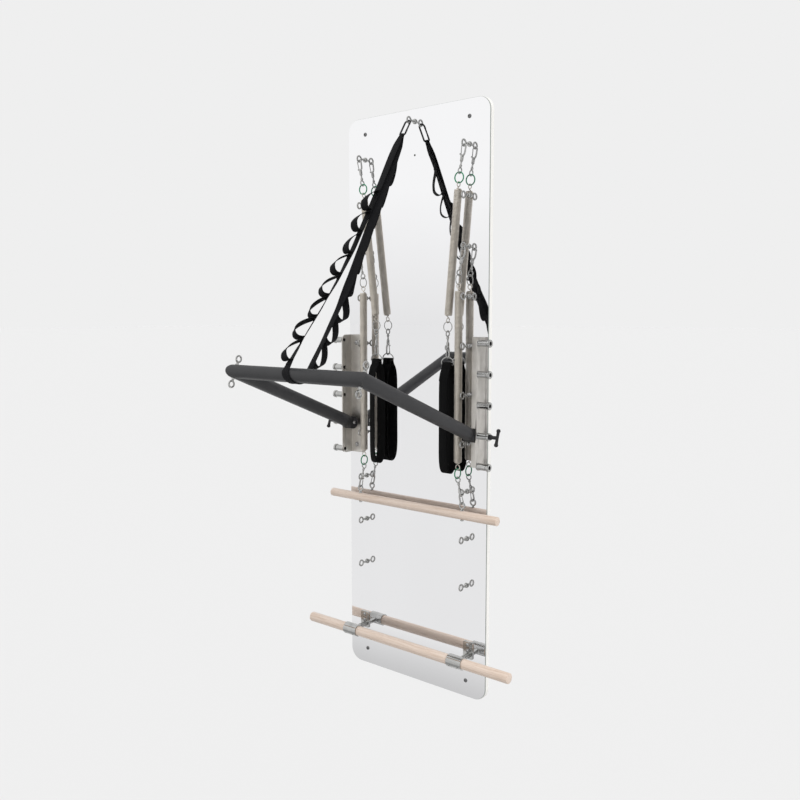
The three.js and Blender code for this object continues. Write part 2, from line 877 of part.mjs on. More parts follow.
function dRing(topWire) {
  const bottom = along(topWire, down, dRingHeight);
  const path = [along(bottom, right, -dRingHalfWidth), along(bottom, right, dRingHalfWidth)];
  for (let step = 1; step < dRingArchSteps; step += 1) {
    const angle = (step / dRingArchSteps) * Math.PI;
    const side = along(bottom, right, dRingHalfWidth * Math.cos(angle));
    path.push(along(side, up, dRingHeight * Math.sin(angle)));
  }
  return wire(path, up, dRingWire, linkSides, true);
}

// A webbing loop that wraps the D ring's bar and hangs below it
function handle(barCentre) {
  const wrapRadius = turnRadius(dRingWire, handleWrapSteps, handleThickness);
  const wrap = [];
  for (let step = 0; step <= handleWrapSteps; step += 1) {
    const angle = (step / handleWrapSteps) * Math.PI;
    wrap.push(point(0, wrapRadius * Math.cos(angle), wrapRadius * Math.sin(angle)));
  }
  const front = handleDepthShares.map((share, i) =>
    point(0, -share * handleHalfDepth, -handleDropShares[i] * handleLength));
  const back = front.map((p) => point(0, -p.y, p.z)).reverse();
  const points = [...wrap, ...front, point(0, 0, -handleLength), ...back];
  const widths = points.map(() => handleWidth);
  return band(points.map((p) => p.add(barCentre)), widths, handleThickness);
}

// Round bars with a softened edge at both ends

function roundBar(centre, length, radius, edge, sides) {
  const start = along(centre, right, -length / 2);
  const profile = [
    [radius - edge, 0],
    [radius, edge],
    [radius, length - edge],
    [radius - edge, length],
  ];
  return turned(start, right, profile, sides);
}

function rollDownBar(barCentre, eyeX) {
  const bar = roundBar(barCentre, rollBarLength, rollBarRadius, rollBarEdge, rollBarSides);
  const holes = [-eyeX, eyeX].map((x) => {
    const middle = point(x, barCentre.y, barCentre.z);
    const low = along(middle, down, 2 * rollBarRadius);
    const high = along(middle, up, 2 * rollBarRadius);
    return rod(low, high, eyeWireRadius + seat, holeSides);
  });
  return cut(bar, ...holes);
}

function rollDownBarEye(ringCentre) {
  const ring = wireRing(
    ringCentre,
    intoWall,
    down,
    eyeRingRadius,
    eyeWireRadius,
    eyeRingSteps,
  );
  const shankTop = along(ringCentre, down, eyeRingRadius);
  const nutTop = along(ringCentre, down, rollEyeRise + rollBarRadius + seat);
  const nutEnd = along(nutTop, down, rollEyeNutLength);
  const shank = rod(shankTop, nutEnd, eyeWireRadius, holeSides);
  const nut = rod(nutTop, nutEnd, rollEyeNutRadius, holeSides);
  return unite(ring, shank, nut);
}

function footBarHolder() {
  const centre = point(holderX, -footBarReach, footBarZ);
  const innerRadius = footBarRadius + seat;
  const outerRadius = innerRadius + holderSleeveWall;
  const start = along(centre, right, -holderSleeveLength / 2);
  const end = along(centre, right, holderSleeveLength / 2);
  const sleeve = rod(start, end, outerRadius, holderSleeveSides);
  const openStart = along(start, right, -seat);
  const openEnd = along(end, right, seat);
  const opening = rod(openStart, openEnd, innerRadius, holderSleeveSides);
  const seamLow = point(openStart.x, -holderSeamWidth / 2, 0);
  const seamHigh = point(openEnd.x, holderSeamWidth / 2, 2 * outerRadius);
  const seam = box(seamLow, seamHigh)
    .rotate([holderSeamTilt, 0, 0])
    .translate([0, centre.y, centre.z]);
  const plateLow = point(
    holderX - holderPlateWidth / 2,
    -seat - holderPlateThickness,
    holderPlateBottomZ,
  );
  const plateHigh = point(
    holderX + holderPlateWidth / 2,
    -seat,
    holderPlateBottomZ + holderPlateHeight,
  );
  const bolts = holderBoltZs.map((z) => throughHole(holderX, z, holderBoltRadius));
  const stemEnd = point(holderX, -seat - holderPlateThickness / 2, footBarZ);
  const stem = rod(centre, stemEnd, holderStemRadius, holderSleeveSides);
  return cut(unite(sleeve, stem, cut(box(plateLow, plateHigh), ...bolts)), opening, seam);
}

// One hanging arm unit: snap hook, green ring, spring, plain ring, snap hook, D ring and handle
function addArmUnit(side, name, springLean) {
  const hookDirection = leaning(-side * topHookLean);
  const springDirection = leaning(-side * springLean);
  const topEnd = eyeLink(side * eyeColumnX, eyeRowZ(1));
  const hookLoop = hang(topEnd, hookDirection, hookLoopRadius, hookWireRadius);
  const hookEye = farLink(hookLoop, hookSpan, hookEyeRadius);
  const topRing = hang(hookEye, springDirection, ringRadius, greenRingWire);
  const springTop = hang(topRing, springDirection, springLoopRadius, springWireRadius);
  const springEnd = farLink(springTop, armSpringSpan, springLoopRadius);
  const lowRing = hang(springEnd, down, ringRadius, plainRingWire);
  const lowEye = hang(lowRing, down, hookEyeRadius, hookWireRadius);
  const lowLoop = farLink(lowEye, hookSpan, hookLoopRadius);
  const dRingTop = hang(lowLoop, down, 0, dRingWire).centre;
  const coil = spring(springTop.centre, springDirection, right, armSpringSpan, armSpringCurls);
  const topHook = snapHook(hookLoop.centre, hookDirection, intoWall, acrossWall(hookDirection));
  addPart(`arm_top_hook_${name}`, topHook, steelColor);
  addPart(`arm_top_ring_${name}`, hangingRing(topRing, intoWall), greenColor);
  addPart(`arm_spring_${name}`, coil, steelColor);
  addPart(`arm_low_ring_${name}`, hangingRing(lowRing, intoWall), steelColor);
  addPart(`arm_low_hook_${name}`, snapHook(lowLoop.centre, up, right, right), steelColor);
  addPart(`d_ring_${name}`, dRing(dRingTop), steelColor);
  addPart(`handle_${name}`, handle(along(dRingTop, down, dRingHeight)), blackColor);
}

// One side of the roll-down unit, down to the middle of the eye on its bar, which is returned
function addRollUnit(side, name) {
  const topDirection = leaning(-side * topHookLean);
  const lowDirection = leaning(side * rollHookLean);
  const topEnd = eyeLink(side * eyeColumnX, eyeRowZ(3));
  const hookLoop = hang(topEnd, topDirection, hookLoopRadius, hookWireRadius);
  const hookEye = farLink(hookLoop, hookSpan, hookEyeRadius);
  const topRing = hang(hookEye, down, ringRadius, plainRingWire);
  const springTop = hang(topRing, down, springLoopRadius, springWireRadius);
  const springEnd = farLink(springTop, rollSpringSpan, springLoopRadius);
  const lowRing = hang(springEnd, down, ringRadius, greenRingWire);
  const lowEye = hang(lowRing, lowDirection, hookEyeRadius, hookWireRadius);
  const lowLoop = farLink(lowEye, hookSpan, hookLoopRadius);
  const coil = spring(springTop.centre, down, intoWall, rollSpringSpan, rollSpringCurls);
  const topHook = snapHook(hookLoop.centre, topDirection, intoWall, intoWall);
  const upwards = lowDirection.clone().negate();
  const lowHook = snapHook(lowLoop.centre, upwards, acrossWall(lowDirection), intoWall);
  addPart(`roll_down_top_hook_${name}`, topHook, steelColor);
  addPart(`roll_down_top_ring_${name}`, hangingRing(topRing, right), steelColor);
  addPart(`roll_down_spring_${name}`, coil, steelColor);
  addPart(`roll_down_low_ring_${name}`, hangingRing(lowRing, right), greenColor);
  addPart(`roll_down_low_hook_${name}`, lowHook, steelColor);
  return hang(lowLoop, down, eyeRingRadius, eyeWireRadius).centre;
}

function addBothSides(name, solid, color) {
  addPart(`${name}_right`, solid, color);
  addPart(`${name}_left`, mirrored(solid), color);
}

addPart("backing_board", backingBoard(), 0xe6dfd2);
addPart("mirror_panel", mirrorPanel(), 0xd6dbde);
for (const row of eyeRowsModelled) {
  addBothSides(`wall_eye_${row}`, wallEye(eyeColumnX, eyeRowZ(row)), steelColor);
}
addPart("top_eye", wallEye(0, topEyeZ), steelColor);
addBothSides("bracket", bracket(), steelColor);
addPart("push_bar", pushBar(), 0x434345);
addBothSides("push_bar_end", pushBarEnd(), blackColor);
addBothSides("push_bar_eye", pushBarEye(), steelColor);
addBothSides("pull_pin", pullPin(), blackColor);
addPart("carabiner", carabiner(), blackColor);
addPart("carabiner_gate", carabinerGate(), blackColor);
addPart("safety_strap", safetyStrap(), blackColor);
addArmUnit(-1, "left", armSpringLeanLeft);
addArmUnit(1, "right", armSpringLeanRight);
addRollUnit(-1, "left");
const rollEye = addRollUnit(1, "right");
const rollBarCentre = point(0, rollEye.y, rollEye.z - rollEyeRise);
addPart("roll_down_bar", rollDownBar(rollBarCentre, rollEye.x), mapleColor);
addBothSides("roll_down_bar_eye", rollDownBarEye(rollEye), steelColor);
const footBarCentre = point(0, -footBarReach, footBarZ);
const footBar = roundBar(footBarCentre, footBarLength, footBarRadius, footBarEdge, footBarSides);
addPart("foot_bar", footBar, mapleColor);
addBothSides("foot_bar_holder", footBarHolder(), steelColor);

const armGap = leastSelfGap(armSpringSpan, armSpringCurls);
const rollGap = leastSelfGap(rollSpringSpan, rollSpringCurls);
console.log(`Least gap of an arm spring to itself: ${armGap.toFixed(2)} mm`);
console.log(`Least gap of a roll-down spring to itself: ${rollGap.toFixed(2)} mm`);

export default tower;
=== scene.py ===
import math

import bmesh
import bpy
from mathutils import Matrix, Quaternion, Vector


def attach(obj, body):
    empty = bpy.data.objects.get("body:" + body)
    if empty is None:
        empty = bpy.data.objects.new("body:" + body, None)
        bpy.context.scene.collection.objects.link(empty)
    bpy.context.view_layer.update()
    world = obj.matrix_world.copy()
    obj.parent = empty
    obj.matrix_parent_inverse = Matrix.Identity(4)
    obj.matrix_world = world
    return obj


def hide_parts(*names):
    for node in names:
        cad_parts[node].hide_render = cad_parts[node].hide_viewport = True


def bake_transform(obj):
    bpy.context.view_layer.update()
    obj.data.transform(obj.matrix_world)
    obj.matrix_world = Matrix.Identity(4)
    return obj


# Looks of a wall-mounted pilates tower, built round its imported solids. Lengths are millimetres in the
# tower's own frame, as in the part's source: X along the wall, Y = 0 on the mirror's face with the room
# at negative Y, and Z = 0 at the panel's lower edge. metres() turns them into the scene's own.

MILLIMETRE = 0.001
PANEL_DEPTH = 20.0
PANEL_HEIGHT = 2000.0
SEAT = 0.3

# Camera, solved from the corners of the panel in the photograph
CAMERA_PLACE = (1.817, -2.316, 0.314)
CAMERA_YAW = 39.35
CAMERA_PITCH = 5.89
CAMERA_ROLL = 0.06
IMAGE_WIDTH = 800
FOCAL_PIXELS = 843.1
SENSOR_WIDTH = 36.0

# Stage: the floor in metres, the room by the direction in which it is seen
FLOOR_DROP = 6.0
# Painted shade: the floor turns from its pale tone to a dark one in a band in front of the tower, which the
# mirror reflects darker towards its bottom.
FLOOR_REACH = 400.0
FLOOR_PALE_AND_SHADE_TONES = (0.732, 0.42)
FLOOR_PAINTED_SHADE_FROM = (-12.4, -9.6)
FLOOR_PAINTED_SHADE_TO = (-1.0, 0.0)
FLOOR_ROUGHNESS = 0.9
ROOM_VALUE = 0.863
ROOM_SIDE_VALUE = 0.40
ROOM_SIDE_FROM = (0.35, 0.6)
ROOM_FRONT_VALUES = (0.863, 1.01)
ROOM_FRONT_HEIGHTS = (-0.015, 0.14)
ROOM_FRONT_FROM = (0.0, -0.3)
KEY_ENERGY = 1.9
KEY_WIDTH = 60.0
KEY_TURN = (52.0, 0.0, 80.0)

# Finishes. A tone is read from a noise, from the dark one at its first stop to the light one at its
# second. METALS, COATINGS and WEBBINGS hold what metal(), coated() and webbing() take. A noise is
# given by its stretch, scale and detail, and a bump by its strength and its depth in metres.
WHOLE = (0.0, 1.0)
RISING = (0.0, 1.0)
FALLING = (1.0, 0.0)
EVEN = (1, 1, 1)
TONE_STOPS = (0.3, 0.7)
METAL_TONE_SCALE = 35
METAL_GRAIN_SCALE = 220
METAL_GRAIN = 0.06
METAL_BUMP = 0.0002
COAT_TONE_SCALE = 18
COAT_BUMP = 0.0004
COAT_DETAIL = 2.0
NOISE_DETAIL = 4.0
METALS = {
    "chrome": ("chrome", (0.42, 0.42, 0.41), (0.56, 0.56, 0.55), (0.08, 0.2)),
    "bolt": ("bolt_steel", (0.42, 0.42, 0.42), (0.56, 0.56, 0.56), (0.2, 0.34)),
    "screw": ("screw_steel", (0.16, 0.16, 0.16), (0.25, 0.25, 0.25), (0.3, 0.45)),
    "spring": ("spring_wire", (0.66, 0.62, 0.555), (0.79, 0.74, 0.67), (0.38, 0.48)),
    "brushed": (
        "brushed_steel",
        (0.57, 0.545, 0.51),
        (0.67, 0.645, 0.61),
        (0.26, 0.46),
        (60, 60, 1),
        55,
        0.12,
    ),
}
COATINGS = {
    "mirror_edge": ("mirror_edge", (0.22, 0.24, 0.23), (0.30, 0.33, 0.31), (0.2, 0.3), 300, 0.02),
    "charcoal": ("charcoal_powder", (0.024, 0.024, 0.026), (0.030, 0.030, 0.032), (0.45, 0.62), 900, 0.12),
    "plastic": ("black_plastic", (0.008, 0.008, 0.009), (0.014, 0.014, 0.015), (0.35, 0.55), 700, 0.12),
    "black_metal": ("black_steel", (0.006, 0.006, 0.007), (0.011, 0.011, 0.012), (0.4, 0.55), 400, 0.05),
    "green": ("green_enamel", (0.004, 0.17, 0.075), (0.010, 0.26, 0.12), (0.2, 0.35), 300, 0.03, 0.2),
    # bore_shade is painted shade: a near-black finish for the insides of the sleeves, which lie in shade.
    "bore": ("bore_shade", (0.010, 0.010, 0.010), (0.02, 0.02, 0.02), (0.5, 0.7), 300, 0.02),
}
MIRROR_HAZE = ((1, 1, 0.4), 2.5)
MIRROR_TONES = ((0.895, 0.895, 0.905), (0.91, 0.91, 0.92), (0.35, 0.65))
MIRROR_ROUGHNESS = (0.0, 0.03)
BOARD_FIBRE = ((1, 60, 1), 12, 5.0)
BOARD_TONES = ((0.81, 0.80, 0.765), (0.88, 0.87, 0.845))
BOARD_ROUGHNESS = (0.4, 0.58)
BOARD_BUMP = (0.05, 0.0003)
MAPLE_GRAIN = ((1.6, 42, 42), 5.5, 6.0)
MAPLE_PORES = ((22, 520, 520), 3.0, 3.0)
MAPLE_TONES = ((0.25, (0.56, 0.43, 0.335)), (0.48, (0.69, 0.565, 0.475)), (0.75, (0.75, 0.64, 0.56)))
MAPLE_FLECKS = ((0.78, 0.73, 0.68), (1, 1, 1), (0.34, 0.5))
MAPLE_FLECK_SHARE = 0.55
MAPLE_ROUGHNESS = (0.34, 0.5)
MAPLE_BUMP = (0.08, 0.0003)
MAPLE_LACQUER = {"Coat Weight": 0.25, "Coat Roughness": 0.22}
WEAVE_WALE_SHARE = 0.9
WEAVE_BAND_SCALE = 0.314
WEAVE_BANDS = {"Distortion": 0.6, "Detail": 1.0}
WEAVE_STOPS = (0.1, 0.8)
WEAVE_BUMP = (0.5, 0.0006)
WEAVE_SHEEN = 0.15
WEAR_SCALE = 60
WEAR_TONES = ((0.7, 0.7, 0.7), (1, 1, 1))
WEAR_SHARE = 0.6
WEBBINGS = {
    "strap": ("strap_webbing", (0.004, 0.004, 0.0045), (0.022, 0.022, 0.025), 0.0016),
    "handle": ("handle_webbing", (0.002, 0.002, 0.0022), (0.007, 0.007, 0.0075), 0.0012, 0.9),
}

# Meshing. An edge shows as hard where its faces meet at more than a SHARP angle in degrees.
SHARP = 35.0
SHARP_MIRROR = 20.0
SHARP_BOARD = 30.0
SHARP_TUBE = 28.0
SHARP_PIN = 50.0
SHARP_BEVEL = 40.0
SHARP_CLOTH = 70.0
SHARP_SPRING = 80.0
SOFTEN_ANGLE = 30.0
SOFTEN_SEGMENTS = 2
MIRROR_FACING = -0.99
POLE_RADIUS = 0.02
PIN_POLE_RADIUS = 0.05

# Panel
PANEL_WIDTH = 610.0
MIRROR_THICKNESS = 3.7
MIRROR_INSET = 1.0
PANEL_CORNER_RADIUS = 45.0
PANEL_CORNER_STEPS = 16
PANEL_EDGE_SOFTENING = 0.7
SPARE_HOLE = (0.0, 1846.0)
SPARE_HOLE_RADIUS = 3.8
SPARE_HOLE_DEPTH = 15.0
SCREW_COLUMN_X = 224.0
SCREW_ROWS_Z = (57.0, 1943.0)

# Screws, nuts and washers. A head is given by its radius and height.
PANEL_SCREW = (7.0, 3.2)
PANEL_SCREW_SEAT = 0.1
BRACKET_BOLT = (6.5, 4.0)
PLATE_BOLT = (6.0, 4.2)
HEAD_PROFILE_SHARES = ((1.0, 0.0), (1.0, 0.25), (0.93, 0.55), (0.75, 0.85), (0.55, 1.0))
SOCKET_SHARE = 0.42
SOCKET_DEPTH_SHARE = 0.35
SOCKET_KEY_SHARE = 0.98
HEAD_SIDES = 36
WASHER_EDGE = 0.3
BOLT_WASHER_RADIUS = 9.0
BOLT_WASHER_THICKNESS = 1.2
NUT_CHAMFER_SHARE = 0.12
NUT_CHAMFER_SLOPE = 0.6
EYE_NUT_FLATS = 13.0
EYE_NUT_LENGTH = 5.4
EYE_NUT_Y = -7.0
EYE_WASHER_RADIUS = 9.0
EYE_WASHER_YS = (-1.6, -0.1)
PUSH_NUT_FLATS = 10.0
PUSH_NUT_LENGTH = 4.0
BAR_NUT_FLATS = 10.5
BAR_NUT_LENGTH = 4.8
BAR_WASHER_RADIUS = 6.5
BAR_WASHER_PROUD = 0.8
BAR_WASHER_SUNK = 0.6
ROLL_WASHER_HEIGHTS = (1.2, -0.4)
ROLL_NUT_DROP = 0.2
ROLL_SHANK_END = 5.0

# Eye bolts
EYE_COLUMN_X = 225.0
EYE_TOP_ROW_Z = 1855.0
EYE_ROW_PITCH = 162.4
EYE_ROWS = range(1, 11)
EYE_ROWS_IN_FRAME = (1, 2, 3, 4, 8, 9, 10)
ROLL_EYE_ROW = 3
TOP_EYE_Z = 1957.0
EYE_REACH = 32.0
EYE_RING_RADIUS = 10.0
EYE_WIRE_RADIUS = 3.0
EYE_SHOULDER = ((1.25, 1.0), (1.45, 3.2), (1.05, 4.6))
EYE_SHANK_SHARE = 1.05

# Brackets
BRACKET_OUTER_X = 297.0
BRACKET_STEEL = 4.0
BRACKET_WEB_DEPTH = 54.0
BRACKET_FLANGE_WIDTH = 54.0
BRACKET_BOTTOM_Z = 802.0
BRACKET_HEIGHT = 434.0
BRACKET_CORNER_RADIUS = 20.0
BRACKET_BEND_RADIUS = 5.0
BRACKET_EDGE = 0.5
BRACKET_BEND_STEPS = 5
BRACKET_CORNER_STEPS = 12
BRACKET_BOLT_X = 269.0
BRACKET_BOLTS_Z = (831.0, 1019.0, 1207.0)
SLEEVE_ROWS_Z = (817.0, 917.0, 1017.0, 1117.0, 1217.0)
SLEEVE_REACH = 43.0
SLEEVE_RADIUS = 11.0
SLEEVE_LENGTH = 45.0
SLEEVE_COLLAR_RADIUS = 13.0
SLEEVE_COLLAR_LENGTH = 8.0
SLEEVE_FLARE = (1.5, 1.8)
SLEEVE_GROOVE_DEPTH = 1.6
SLEEVE_GROOVE_GAPS = (4.0, 3.0, 0.8)
SLEEVE_COLLAR_EDGE = 1.2
SLEEVE_MOUTH_EDGE = 0.8
BORE_MARGIN = 0.4
BORE_FACING = 0.5
PIN_RADIUS = 6.0

# Push bar
PIVOT_Z = 917.0
PUSH_ARM_X = 269.5
PUSH_ARM_LENGTH = 571.0
PUSH_RISE = 22.0
PUSH_TUBE_RADIUS = 22.0
PUSH_TUBE_EDGE = 0.8
PUSH_SIDES = 48
PLUG_BARREL_RADIUS = 23.0
PLUG_RIM = ((3.0, 0.0), (0.8, 1.0), (0.0, 3.2))
PLUG_PIN_HOLE = (7.0, 6.0)
PLUG_CORE = (5.0, 0.6)
PLUG_NECK_PROFILE = ((21.5, 0.0), (21.2, 17.0), (21.4, 21.0), (21.4, 31.4), (20.6, 32.4))
PLUG_SCREW_RADIUS = 6.0
PLUG_SCREW_REACH = (1.0, 1.6)
PLUG_SCREW_DOME = (4.2, 1.2)
PLUG_NECK_LENGTH = 32.0
PUSH_EYE_OFFSET = 42.0
PUSH_EYE_SUNK = 2.0
PIN_HANDLE_X = 370.0
PIN_HANDLE_HALF = 30.0
PIN_HANDLE_TILT = 17.0
PIN_BALL_RADIUS = 7.0
PIN_STEM_RADIUS = 4.6
PIN_STEM_SWELL = 1.0
PIN_TIP_EDGE = 1.2
PIN_SIDES = 28
PIN_HANDLE_STEPS = 32
PIN_DEPTH_IN_PLUG = 23.0
PIN_SHOULDER_GAP = 0.6
PIN_SHOULDER_PROFILE = ((7.6, 0.0), (8.4, 0.8), (8.4, 5.0), (7.2, 6.6))

# Safety strap
STRAP_THICKNESS = 2.0
STRAP_WIDTH = 27.0
STRAP_END_WIDTH = 11.0
STRAP_SPREAD = 40.0
LOOP_YAW = -28.0
STRAP_FRONT_X = -18.0
STRAP_BACK_X = 22.0
CARABINER_LENGTH = 62.0
CARABINER_HALF_WIDTH = 11.0
CARABINER_WIRE = 3.0
CARABINER_CORNER = 6.0
CARABINER_LOWER_END = (42.0, 48.0)
CARABINER_UPPER_END = 17.0
CARABINER_NOSE = (16.5, 1.12)
GATE_DROPS = (43.0, 36.0, 28.0, 19.0)
GATE_WIRE = 2.6
GATE_NOSE = 2.5
GATE_PIN_DROP = 41.5
GATE_PIN_HALF = 3.4
GATE_PIN_RADIUS = 1.1

# Strap loops: first place along the strap, pitch and count, and then how far they stand off, as a
# middle share, its change and the rhythm of the change
FRONT_LOOPS = (296.0, 82.5, 8)
BACK_LOOPS = (170.0, 85.0, 9)
LOOP_SPREAD = (1.0, 0.14, 2.3)
LOOP_STEPS = 5
LOOP_WIDTH_SHARE = 0.96
LOOP_LIFT_SHARE = 0.9
SEAM_PLACES = (-7.5, -2.5, 2.5, 7.5)
SEAM_WIDTH_SHARE = 0.98
SEAM_LIFT_SHARE = 0.85
STRAND_STEPS = 60
FOOT_STEPS = 12
WRAP_STEPS = 24
WRAP_EXTRA = 0.6

# The section of any tape, from selvedge to selvedge over its upper face
TAPE_EDGE_SHARES = (-0.5, -0.485, -0.46, 0.0, 0.46, 0.485, 0.5)
TAPE_FACE_SHARES = (0.0, 0.36, 0.5, 0.5, 0.5, 0.36, 0.0)

# Chain pieces
HOOK_SPAN = 75.0
HOOK_LOOP_RADIUS = 8.0
HOOK_WIRE = 2.2
HOOK_EYE_RADIUS = 9.0
HOOK_ROOT = ((0.0, 33.0), (-3.4, 27.5), (-7.0, 21.0), (-8.0, 12.0))
HOOK_ROOT_STEPS = 4
HOOK_TIP_DROP = 5.0
HOOK_ROOT_SHARE = 1.5
HOOK_TAPER = 0.03
HOOK_TAPER_STEPS = 17
HOOK_TIP_SHARES = (0.95, 0.85)
HOOK_BOLT_ENDS = (4.0, (5.4, 30.0))
HOOK_BOLT_RADIUS = 1.7
HOOK_STUD = (7.4, 24.0)
HOOK_STUD_REACH = (2.0, 2.2, 2.4)
HOOK_STUD_RADIUS = 1.5
HOOK_THUMB_RADIUS = 2.6
RING_RADIUS = 17.0
GREEN_RING_WIRE = 2.1
PLAIN_RING_WIRE = 1.5
LINK_GAP = 0.3

# The snap hooks' bodies, as pairs of radius and distance from the middle of the nose
HOOK_BODY_PROFILE = (
    *((2.4, 24.6), (4.6, 26.4), (5.4, 29.0), (5.6, 34.0), (5.4, 44.0), (4.4, 46.0)),
    *((3.0, 47.0), (2.8, 56.0), (4.4, 57.4), (4.8, 60.0), (4.4, 63.4), (3.0, 65.6)),
)

# Link rings: wire, material and slot
RINGS = {
    "green": (GREEN_RING_WIRE, "green", "green_ring"),
    "plain": (PLAIN_RING_WIRE, "chrome", "chrome"),
}

# Springs
SPRING_RADIUS = 11.6
SPRING_WIRE = 1.96
SPRING_LOOP_WIRE = 1.6
SPRING_PITCH = 4.0
SPRING_LOOP_RADIUS = 8.0
SPRING_LOOP_TO_COIL = 18.0
SPRING_STEPS_PER_CURL = 18
SPRING_LOOP_TURN = (-165.0, 150.0)
SPRING_LOOP_STEPS = 28
SPRING_TAPER_CURLS = 1.25
SPRING_END_SHARE = 0.62
SPRING_OVERLAP = 3.0
SPRING_SIDES = 7
ARM_SPRING_SPAN = 439.0
ROLL_SPRING_SPAN = 598.0

# Units that hang from the wall eyes: the start of their solids' names, upper and lower ring, the
# spring's span and the row of the eyes
UNITS = {
    "arm": ("arm", ("green", "plain"), ARM_SPRING_SPAN, 1),
    "roll": ("roll_down", ("plain", "green"), ROLL_SPRING_SPAN, ROLL_EYE_ROW),
}

# Hang of the units, in degrees from straight down
TOP_HOOK_LEAN = 11.0
ARM_SPRING_LEANS = {"left": 7.3, "right": 5.2}
ROLL_HOOK_LEAN = 12.5

# Handles
D_RING_WIRE = 2.0
D_RING_HALF_WIDTH = 25.0
D_RING_HEIGHT = 24.0
D_RING_CORNER = 4.0
D_RING_BAR_STEPS = 8
D_RING_BOW_STEPS = 32
HANDLE_LENGTH = 364.0
HANDLE_HALF_DEPTH = 24.0
HANDLE_WIDTH = 37.0
HANDLE_TWISTS = {"left": 26.0, "right": 6.0}
HANDLE_THICKNESS = 5.0
HANDLE_WRAP_RADIUS = 5.6
TAB_START = 13.0
TAB_LENGTH = 42.0
TAB_STEPS = 8
TAB_WIDTH_SHARE = 0.94
TAB_LIFT_SHARE = 0.62
TAB_THICKNESS = 1.6
HANDLE_DEPTH_SHARES = (0.33, 0.67, 0.92, 1.0, 1.0, 1.0, 0.83, 0.46)
HANDLE_DROP_SHARES = (0.035, 0.08, 0.15, 0.28, 0.58, 0.83, 0.935, 0.985)

# Wooden bars
ROLL_BAR_RADIUS = 15.0
ROLL_BAR_LENGTH = 736.0
ROLL_EYE_RISE = 32.0
FOOT_BAR_RADIUS = 17.5
FOOT_BAR_LENGTH = 888.0
FOOT_BAR_Z = 150.0
FOOT_BAR_REACH = 72.0
BAR_EDGE = 2.5
BAR_EDGE_SHARE = 0.3
HOLDER_X = 235.0
HOLDER_SLEEVE_LENGTH = 60.0
HOLDER_SLEEVE_WALL = 3.7
HOLDER_SEAM_WIDTH = 3.0
HOLDER_SEAM_TILT = 50.0
HOLDER_STEM_RADIUS = 9.0
HOLDER_PLATE_WIDTH = 40.0
HOLDER_PLATE_THICKNESS = 4.0
HOLDER_PLATE_Z = (138.0, 199.0)
HOLDER_PLATE_CORNER = 5.0
HOLDER_PLATE_CORNER_STEPS = 6
HOLDER_EDGE = 0.8
HOLDER_STEM_SUNK = 1.0
HOLDER_STEM_FLARES = ((2.0, 2.6), (2.2, 4.0))
HOLDER_SCREW_X = 17.0
HOLDER_SCREW_SUNK = 0.6
HOLDER_SCREW_SHARES = (0.9, 0.46)
HOLDER_SCREW_PROFILE = ((3.6, 0), (3.6, 1.0), (3.0, 1.8), (1.8, 1.9), (1.6, 0.8))
HOLDER_BOLTS_Z = (188.0, 166.0)

RIGHT = Vector((1, 0, 0))
INTO_WALL = Vector((0, 1, 0))
UP = Vector((0, 0, 1))
DOWN = Vector((0, 0, -1))
SIDES = {"left": -1, "right": 1}

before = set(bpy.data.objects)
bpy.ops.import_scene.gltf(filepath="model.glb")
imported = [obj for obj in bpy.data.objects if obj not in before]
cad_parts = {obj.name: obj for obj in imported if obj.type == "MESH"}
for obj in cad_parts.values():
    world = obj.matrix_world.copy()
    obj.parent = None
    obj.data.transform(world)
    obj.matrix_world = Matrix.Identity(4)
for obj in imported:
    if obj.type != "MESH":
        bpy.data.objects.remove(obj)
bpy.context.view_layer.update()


# Camera, stage and the nodes of both the room and the materials

def add_camera():
    data = bpy.data.cameras.new("camera")
    data.sensor_width = SENSOR_WIDTH
    data.lens = FOCAL_PIXELS / IMAGE_WIDTH * SENSOR_WIDTH
    camera = bpy.data.objects.new("camera", data)
    bpy.context.scene.collection.objects.link(camera)
    camera.location = CAMERA_PLACE
    tilt = math.radians(90 - CAMERA_PITCH)
    camera.rotation_euler = (tilt, math.radians(CAMERA_ROLL), math.radians(CAMERA_YAW))
    bpy.context.scene.camera = camera


def add_node(tree, kind, values, output=0, **settings):
    """A new node with its inputs set, or linked where the value is another node's output."""
    node = tree.nodes.new("ShaderNode" + kind)
    for name, setting in settings.items():
        setattr(node, name, setting)
    for name, value in values.items():
        feed(tree, node, name, value)
    return node.outputs[output]


def feed(tree, node, name, value):
    if isinstance(value, bpy.types.NodeSocket):
        tree.links.new(value, node.inputs[name])
    else:
        node.inputs[name].default_value = value


def axis(tree, coordinates, name):
    place_on = add_node(tree, "TexCoord", {}, coordinates)
    return add_node(tree, "SeparateXYZ", {"Vector": place_on}, name)


def blend_range(tree, value, limits, results):
    """The value moved from its limits to the results, and held there beyond them."""
    values = {"From Min": limits[0], "From Max": limits[1], "To Min": results[0], "To Max": results[1]}
    return add_node(tree, "MapRange", {"Value": value, **values}, "Result")


def mixed(tree, share, first, second, **settings):
    """From the first value to the second, each a number or another node's output."""
    return add_node(tree, "Mix", {"Factor": share, "A": first, "B": second}, "Result", **settings)


def shaded(tree, strength, color, shade):
    """The colour darkened by a second one."""
    return mixed(tree, strength, color, shade, data_type="RGBA", blend_type="MULTIPLY")


def multiplied(tree, first, second):
    return add_node(tree, "Math", {0: first, 1: second}, operation="MULTIPLY")


